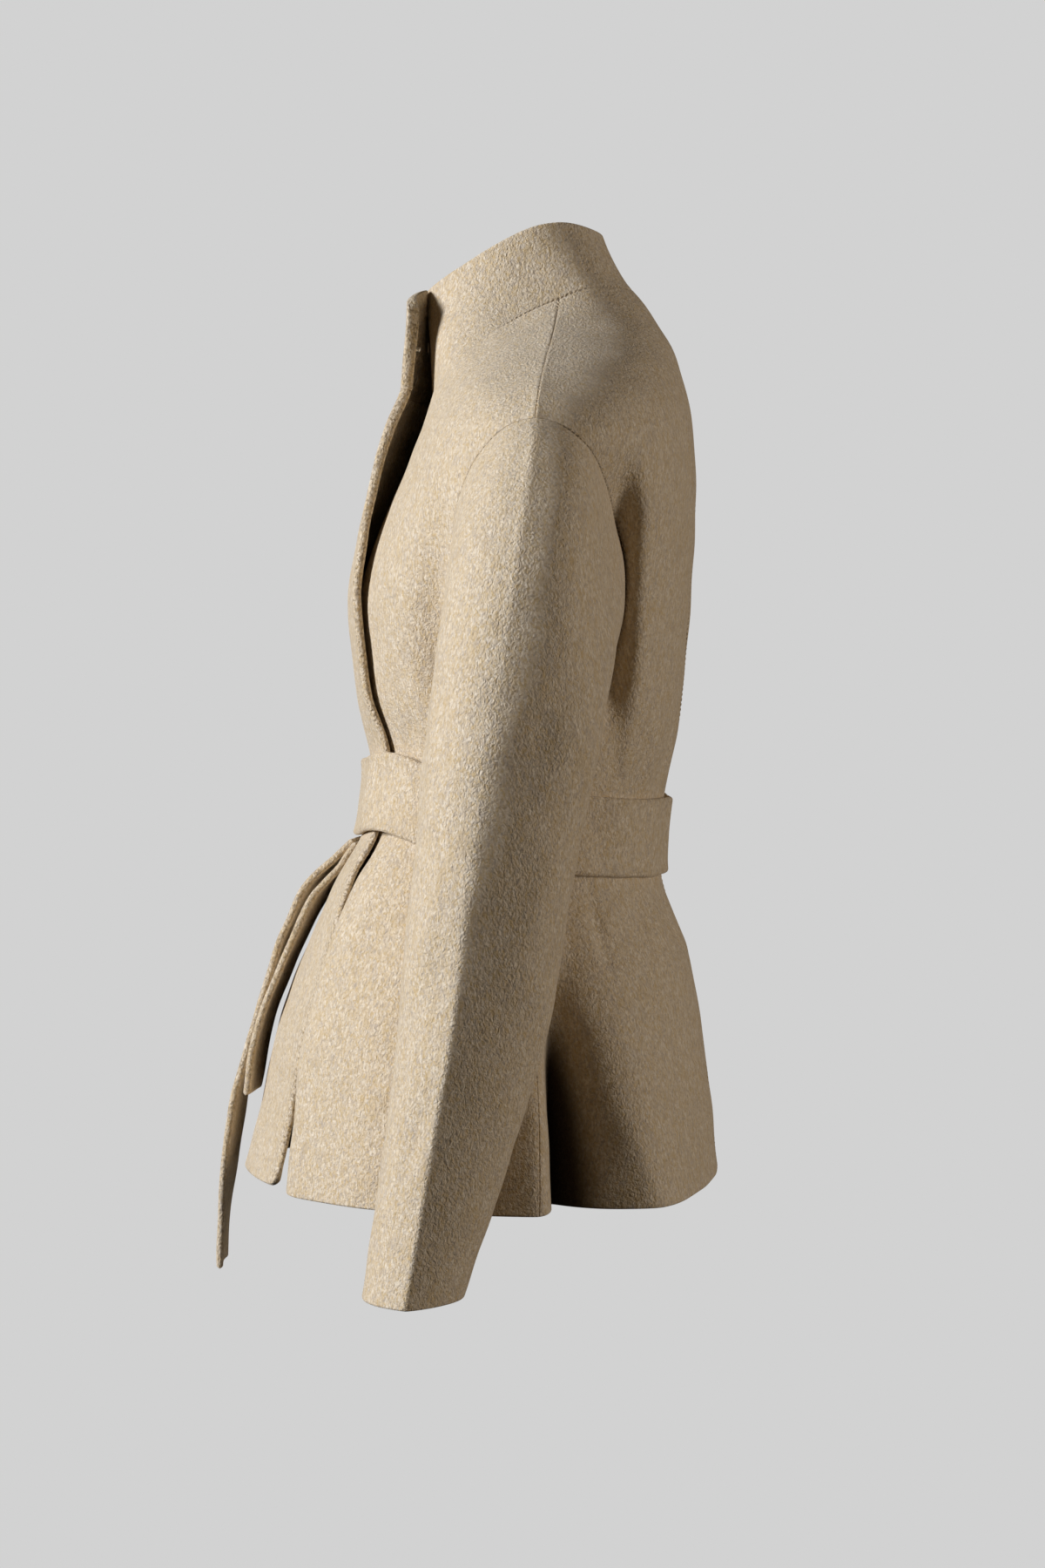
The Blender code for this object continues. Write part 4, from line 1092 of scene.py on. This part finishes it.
def belt_face(turn, height, out):
    """A ring of the belt, eased off the coat by a hair and pushed out further if asked."""
    edge = edge_turn(height)
    rising = smooth((turn - OVER_FROM) / (OVER_FULL - OVER_FROM))
    falling = 1.0 - smooth((turn - edge - BELT_STEP_PAST) / BELT_STEP_REACH)
    lifted = (LAYER + along(EDGES, "lift", height)) * rising * falling
    return body(turn, height, lifted + BELT_EASE + out)


belt_turn = np.linspace(KNOT_TURN, KNOT_TURN + 2 * math.pi, BELT_COLUMNS)
belt_share = 2.0 * steps(2 * BELT_HALF, BELT_ROWS, low=BELT_ROUND, high=BELT_ROUND) - 1.0
belt_turn, belt_level = np.meshgrid(belt_turn, WAIST + BELT_HALF * belt_share)
belt_around = (belt_turn + math.pi) % (2 * math.pi) - math.pi
belt_wave = BELT_WAVE * ripple(BELT_WAVES, belt_turn, belt_level)
belt_points = belt_face(belt_around, belt_level, BELT_THICK + belt_wave)
belt_off = np.minimum(belt_level - WAIST + BELT_HALF, WAIST + BELT_HALF - belt_level)
belt_rounds = Rounds(0.0, 0.0, BELT_ROUND, BELT_ROUND)
# Along its edges the band gets specks of painted shade.
belt_band = cloth_shell("belt_band", belt_points, BELT_THICK, belt_rounds, WOOL, ring=True,
                        edge=BELT_SPECKS * bump(belt_off, BELT_SPECK_REACH))
place_piece(belt_band, "belt_band")
tell_area("belt", belt_band)

# %% Knot
KNOT_HALF_WIDTH = 0.021
KNOT_RISE = 0.004
KNOT_TOP = -0.003
KNOT_BULGE = 0.0040
KNOT_THICK = 0.0048
KNOT_EASE = 0.0012
KNOT_PINCH = 0.14
KNOT_ROUND = 0.35
KNOT_FULLNESS = 0.6
KNOT_LENGTH = 0.064
KNOT_ROWS = 40
KNOT_COLUMNS = 30
KnotFold = namedtuple("KnotFold", "start lean reach")
KNOT_FOLDS = [KnotFold(0.45, -0.5, 0.16), KnotFold(-0.35, 0.4, 0.18)]
KNOT_CREASE = 0.0016
KNOT_CREASE_RISE = 4.0
STRIP_ROUND = 0.0024
STRIP_ROUNDS = Rounds(STRIP_ROUND, STRIP_ROUND, STRIP_ROUND, STRIP_ROUND)

knot_across = 2.0 * steps(2 * KNOT_HALF_WIDTH, KNOT_COLUMNS, low=STRIP_ROUND, high=STRIP_ROUND) - 1.0
knot_down = steps(KNOT_LENGTH, KNOT_ROWS, low=STRIP_ROUND, high=STRIP_ROUND)
knot_across, knot_down = np.meshgrid(knot_across, knot_down)
knot_x = KNOT_X + KNOT_HALF_WIDTH * knot_across * (1.0 - KNOT_PINCH * np.sin(math.pi * knot_down))
knot_turn = np.arcsin(knot_x / WAIST_HALF_WIDTH)
knot_level = WAIST + BELT_HALF + KNOT_TOP - (2.0 * BELT_HALF + KNOT_TOP + KNOT_RISE) * knot_down
knot_crown = np.abs(np.sin(math.pi * knot_down)) ** KNOT_FULLNESS * (1.0 - KNOT_ROUND * knot_across ** 2)
knot_crown = KNOT_BULGE * knot_crown
knot_fan = sum(bump(knot_across - row.start - row.lean * knot_down, row.reach) for row in KNOT_FOLDS)
knot_fan = KNOT_CREASE * knot_fan * smooth(KNOT_CREASE_RISE * knot_down)
knot_fan = knot_fan * smooth(KNOT_CREASE_RISE * (1.0 - knot_down))
knot_points = belt_face(knot_turn, knot_level, BELT_THICK + KNOT_EASE + KNOT_THICK + knot_crown - knot_fan)
knot_wall = KNOT_THICK + knot_crown - knot_fan
belt_knot = cloth_shell("belt_knot", knot_points, knot_wall, STRIP_ROUNDS, WOOL, flip=True)
place_piece(belt_knot, "belt_knot")
tell_area("knot", belt_knot)

# %% Belt tails
TAIL_HALF = 0.0235
TAIL_THICK = 0.0048
TAIL_ROWS = 110
TAIL_COLUMNS = 20
TAIL_WAVES = [Wave(46.0, 2.0, 0.0), Wave(83.0, -1.3, 1.0)]
TAIL_WAVE = 0.0007
TAIL_WAVE_FROM = 0.08
TAIL_SPECKS = 0.8
TAIL_SPECK_REACH = 0.004
Route = namedtuple("Route", "x y z turn")
LONG_TAIL = [
    Route(-0.052, -0.1196, -0.3694, -9.0),
    Route(-0.052, -0.1258, -0.3754, -9.0),
    Route(-0.051, -0.1352, -0.3836, -9.0),
    Route(-0.050, -0.1475, -0.3955, -8.0),
    Route(-0.048, -0.1580, -0.4100, -7.0),
    Route(-0.047, -0.1660, -0.4270, -6.0),
    Route(-0.046, -0.1755, -0.4500, -4.0),
    Route(-0.044, -0.1920, -0.4980, -3.0),
    Route(-0.042, -0.2045, -0.5460, -3.0),
    Route(-0.040, -0.2125, -0.5950, 0.0),
    Route(-0.039, -0.2172, -0.6420, 3.0),
    Route(-0.038, -0.2180, -0.6720, 4.0),
]
SHORT_TAIL = [
    Route(-0.040, -0.1164, -0.3709, -9.0),
    Route(-0.040, -0.1225, -0.3789, -8.0),
    Route(-0.037, -0.1287, -0.3869, -7.0),
    Route(-0.032, -0.1385, -0.3985, -6.0),
    Route(-0.026, -0.1490, -0.4130, -5.0),
    Route(-0.020, -0.1670, -0.4517, -4.0),
    Route(-0.016, -0.1845, -0.5000, -4.0),
    Route(-0.014, -0.1935, -0.5460, -4.0),
]


def tail_piece(name, route, flat):
    """A flat ribbon along its route: the route's curve plus a share of the half-width across it."""
    key = np.linspace(0.0, 1.0, len(route))
    at = steps(flat[1], TAIL_ROWS, low=STRIP_ROUND, high=STRIP_ROUND)
    x, y, z, turn = [through(key, np.array([getattr(row, c) for row in route]), at) for c in Route._fields]
    line = np.stack([x, y, z], -1)
    swing = np.radians(turn)
    across = np.stack([np.cos(swing), np.sin(swing), 0.0 * swing], -1)
    share = 2.0 * steps(2 * TAIL_HALF, TAIL_COLUMNS, low=STRIP_ROUND, high=STRIP_ROUND) - 1.0
    points = line[:, None, :] + TAIL_HALF * share[None, :, None] * across[:, None, :]
    run = flat[1] * at[:, None]
    points[..., 1] -= TAIL_WAVE * ripple(TAIL_WAVES, run, share) * smooth(run / TAIL_WAVE_FROM)
    off = TAIL_HALF * (1.0 - np.abs(share))[None, :] + 0.0 * run
    # Along its edges the tail gets specks of painted shade.
    edge = TAIL_SPECKS * bump(off, TAIL_SPECK_REACH)
    piece = cloth_shell(name, points, TAIL_THICK, STRIP_ROUNDS, WOOL, flip=True, edge=edge)
    place_piece(piece, name)
    tell_area(name, piece)


tail_piece("belt_tail_long", LONG_TAIL, (0.047, 0.325))
tail_piece("belt_tail_short", SHORT_TAIL, (0.047, 0.196))

# %% [markdown]
# A press stud can close the collar. It stands open in the picture: the ball half sits inside the over end,
# just behind its beaded edge, and the socket half on the under end. Both are spun from a short profile.

# %% Snap
Turned = namedtuple("Turned", "radius height")
STUD = [
    Turned(0.0, 0.0),
    Turned(0.0038, 0.0),
    Turned(0.0042, 0.0004),
    Turned(0.0039, 0.0010),
    Turned(0.0022, 0.0011),
    Turned(0.0014, 0.0014),
    Turned(0.0014, 0.0019),
    Turned(0.0018, 0.0023),
    Turned(0.0020, 0.0028),
    Turned(0.0018, 0.0034),
    Turned(0.0011, 0.0039),
    Turned(0.0, 0.0040),
]
SOCKET = [
    Turned(0.0, 0.0),
    Turned(0.0038, 0.0),
    Turned(0.0042, 0.0004),
    Turned(0.0040, 0.0009),
    Turned(0.0024, 0.0010),
    Turned(0.0018, 0.0006),
    Turned(0.0, 0.0006),
]
SNAP_SEGMENTS = 32
SNAP_FROM_EDGE = 0.0062
SNAP_RISE = 0.54
SNAP_EASE = 0.0006
SNAP_STUD_EASE = 0.0009
STEP = 0.0005
NICKEL = {"Base Color": (0.70, 0.67, 0.61, 1.0), "Metallic": 1.0}
NICKEL_SMOOTHEST = 0.30
NICKEL_RUB = 0.25


def make_metal(name):
    """Plain nickel with fine brushing: noise rubs its roughness up and down."""
    metal = plain_finish(name, NICKEL)
    start = Tone(metal.node_tree, None)
    place = start.node("ShaderNodeTexCoord", {}, {}, 3)
    rub = start.node("ShaderNodeTexNoise", {}, {"Vector": place, "Scale": 2600.0, "Detail": 3.0})
    (NICKEL_SMOOTHEST + NICKEL_RUB * rub).feed("Roughness")
    return metal


def outward(surface, turn, height):
    """The outward direction of a surface given by turn and height."""
    across = surface(turn + STEP, height) - surface(turn - STEP, height)
    upward = surface(turn, height + STEP) - surface(turn, height - STEP)
    return unit(np.cross(across, upward))


def turned_piece(name, profile, foot, axis, material):
    """A profile of radius and height spun about an axis from its foot."""
    side = unit(np.cross(axis, np.array([0.0, 0.0, 1.0])))
    up = np.cross(side, axis)
    angle = np.linspace(0.0, 2 * math.pi, SNAP_SEGMENTS + 1)
    radius, height = np.array(profile).T
    ring = np.cos(angle)[None, :, None] * side + np.sin(angle)[None, :, None] * up
    points = foot + height[:, None, None] * axis + radius[:, None, None] * ring
    return welded(name, points.reshape(-1, 3), grid_faces(len(profile), len(angle)), material)


METAL = make_metal("nickel")
snap_rise = np.array(SNAP_RISE)
snap_turn = NECK_END - SNAP_FROM_EDGE * COLLAR_SWEEP / COLLAR_LENGTH
snap_over, snap_under = np.array(2 * math.pi + snap_turn), np.array(snap_turn)
snap_bead = (EDGES[-1].bead - CLOTH) * bump(SNAP_FROM_EDGE, BEAD_REACH)
snap_inward = -outward(collar_surface, snap_over, snap_rise)
snap_depth = CLOTH + (1.0 - BEAD_OUT) * snap_bead + SNAP_STUD_EASE
stud_foot = collar_surface(snap_over, snap_rise) + snap_depth * snap_inward
snap_stud = turned_piece("snap_stud_ball", STUD, stud_foot, snap_inward, METAL)
snap_facing = outward(collar_surface, snap_under, snap_rise)
socket_foot = collar_surface(snap_under, snap_rise) + SNAP_EASE * snap_facing
snap_socket = turned_piece("snap_socket_disc", SOCKET, socket_foot, snap_facing, METAL)
place_piece(snap_stud, "snap_stud")
place_piece(snap_socket, "snap_socket")
print("snap halves stand", round(float(np.linalg.norm(stud_foot - socket_foot)) * 1000, 1), "mm apart")

# %% [markdown]
# Double-faced wool is sewn by hand: the edges are turned in and caught with small slanted stitches. Each
# seam is a line on the body's surface, and a stitch is a short thick thread laid across it. All stitches of
# a seam are one mesh, made at once from one small shape by whole arrays.

# %% Stitches
STITCH_SPACING = 0.0035
STITCH_LENGTH = 0.0042
STITCH_WIDTH = 0.00055
STITCH_SINK = 0.0005
STITCH_SLANT = math.radians(38.0)
STITCH_SLANT_VARY = 0.18
STITCH_SLANT_RATE = 911.0
STITCH_SIZE_VARY = 0.16
STITCH_SIZE_RATE = 677.0
STITCH_ARCH = 0.0007
STITCH_POINTS = 7
THREAD_DARK = (0.40, 0.31, 0.20, 1.0)
THREAD_PALE = (0.58, 0.47, 0.32, 1.0)
THREAD_LOW = 0.35
THREAD_HIGH = 0.65
SIDE_POINTS = 160
SHOULDER_POINTS = 90
HOLE_POINTS = 240
BACK_POINTS = 200
NECK_POINTS = 300
SKIP_LOW = 4
SKIP_HIGH = 2
BACK_MARGIN = 0.004
NECK_STITCH_FROM = math.radians(30.0)


def make_thread(name):
    """Wool thread: a little darker than the cloth, mottled along its length."""
    thread = plain_finish(name, {"Roughness": 0.9})
    start = Tone(thread.node_tree, None)
    place = start.node("ShaderNodeTexCoord", {}, {}, 3)
    mottle = start.node("ShaderNodeTexNoise", {}, {"Vector": place, "Scale": 700.0, "Detail": 2.0})
    mottle.between(THREAD_LOW, THREAD_HIGH).tint(THREAD_DARK, THREAD_PALE).feed("Base Color")
    return thread


def stitch_row(name, line, facing, material):
    """Stitches along a line: places at even steps, each a spindle laid at a slant across the seam."""
    run = run_across(line[None], 1)[0]
    count = int(run[-1] / STITCH_SPACING)
    at = (np.arange(count) + 0.5) * run[-1] / count
    place = np.stack([np.interp(at, run, line[:, k]) for k in range(3)], -1)
    out = unit(np.stack([np.interp(at, run, facing[:, k]) for k in range(3)], -1))
    onward = unit(np.stack([np.interp(at, run, np.gradient(line[:, k])) for k in range(3)], -1))
    cross = np.cross(out, onward)
    slant = STITCH_SLANT + STITCH_SLANT_VARY * np.sin(at * STITCH_SLANT_RATE)
    lay = onward * np.cos(slant)[:, None] + cross * np.sin(slant)[:, None]
    beside = np.cross(out, lay)
    size = 1.0 + STITCH_SIZE_VARY * np.sin(at * STITCH_SIZE_RATE)
    along_it = np.linspace(-1.0, 1.0, STITCH_POINTS)
    round_it = np.linspace(0.0, 2 * math.pi, STITCH_POINTS)
    thick = STITCH_WIDTH * np.sqrt(np.maximum(1.0 - along_it ** 4, 0.0))
    arch = -STITCH_SINK - STITCH_ARCH * along_it ** 2
    length = (STITCH_LENGTH / 2) * along_it
    points = place[:, None, None, :] + (size[:, None] * length)[:, :, None, None] * lay[:, None, None, :]
    wide = thick[:, None] * np.cos(round_it)
    points = points + wide[None, :, :, None] * beside[:, None, None, :]
    tall = arch[:, None] + thick[:, None] * np.sin(round_it)
    points = points + tall[None, :, :, None] * out[:, None, None, :]
    quads = grid_faces(STITCH_POINTS, STITCH_POINTS)
    quads = (quads[None] + STITCH_POINTS ** 2 * np.arange(count)[:, None, None]).reshape(-1, 4)
    piece = welded(name, points.reshape(-1, 3), quads, material)
    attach(piece, "root")
    return count


THREAD = make_thread("wool_thread")
seam_shares = [np.linspace(0.0, 1.0, count) for count in (SIDE_POINTS, HOLE_POINTS, SHOULDER_POINTS)]
seam_turn, seam_height = side_line(*seam_shares, True)
side_part = slice(SKIP_LOW, SIDE_POINTS - SKIP_HIGH)
shoulder_part = slice(1 - SHOULDER_POINTS, -SKIP_HIGH)
seam_lines = {
    "side": (seam_turn[side_part], seam_height[side_part]),
    "shoulder": (seam_turn[shoulder_part], seam_height[shoulder_part]),
    "armhole": armhole_turn(np.linspace(-math.pi / 2, 1.5 * math.pi, HOLE_POINTS)),
}
stitches = 0
for seam, (turn, height) in seam_lines.items():
    for side, hand in ((1.0, "left"), (-1.0, "right")):
        line = body(side * turn, height)
        stitches += stitch_row(seam + "_stitches_" + hand, line, outward(body, side * turn, height), THREAD)
back_height = np.linspace(HEM + BACK_MARGIN, NECK_BACK - BACK_MARGIN, BACK_POINTS)
back_turn = math.pi + 0.0 * back_height
stitches += stitch_row("centre_back_stitches", body(back_turn, back_height),
                       outward(body, back_turn, back_height), THREAD)
neck_turn = np.linspace(NECK_STITCH_FROM, 2 * math.pi - NECK_STITCH_FROM, NECK_POINTS)
neck_rise = 0.0 * neck_turn + STEP
stitches += stitch_row("neck_stitches", collar_surface(neck_turn, neck_rise),
                       outward(collar_surface, neck_turn, neck_rise), THREAD)
print("stitches:", stitches)

# %% [markdown]
# Last, the dressed coat's size is set beside the solids' size, to show that it has hardly grown.

# %% Size and finish
dressed_low, dressed_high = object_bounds()
cad_size = [round(x, 3) for x in cad_high - cad_low]
dressed_size = [round(x, 3) for x in dressed_high - dressed_low]
print("solids:", cad_size, "dressed:", dressed_size)
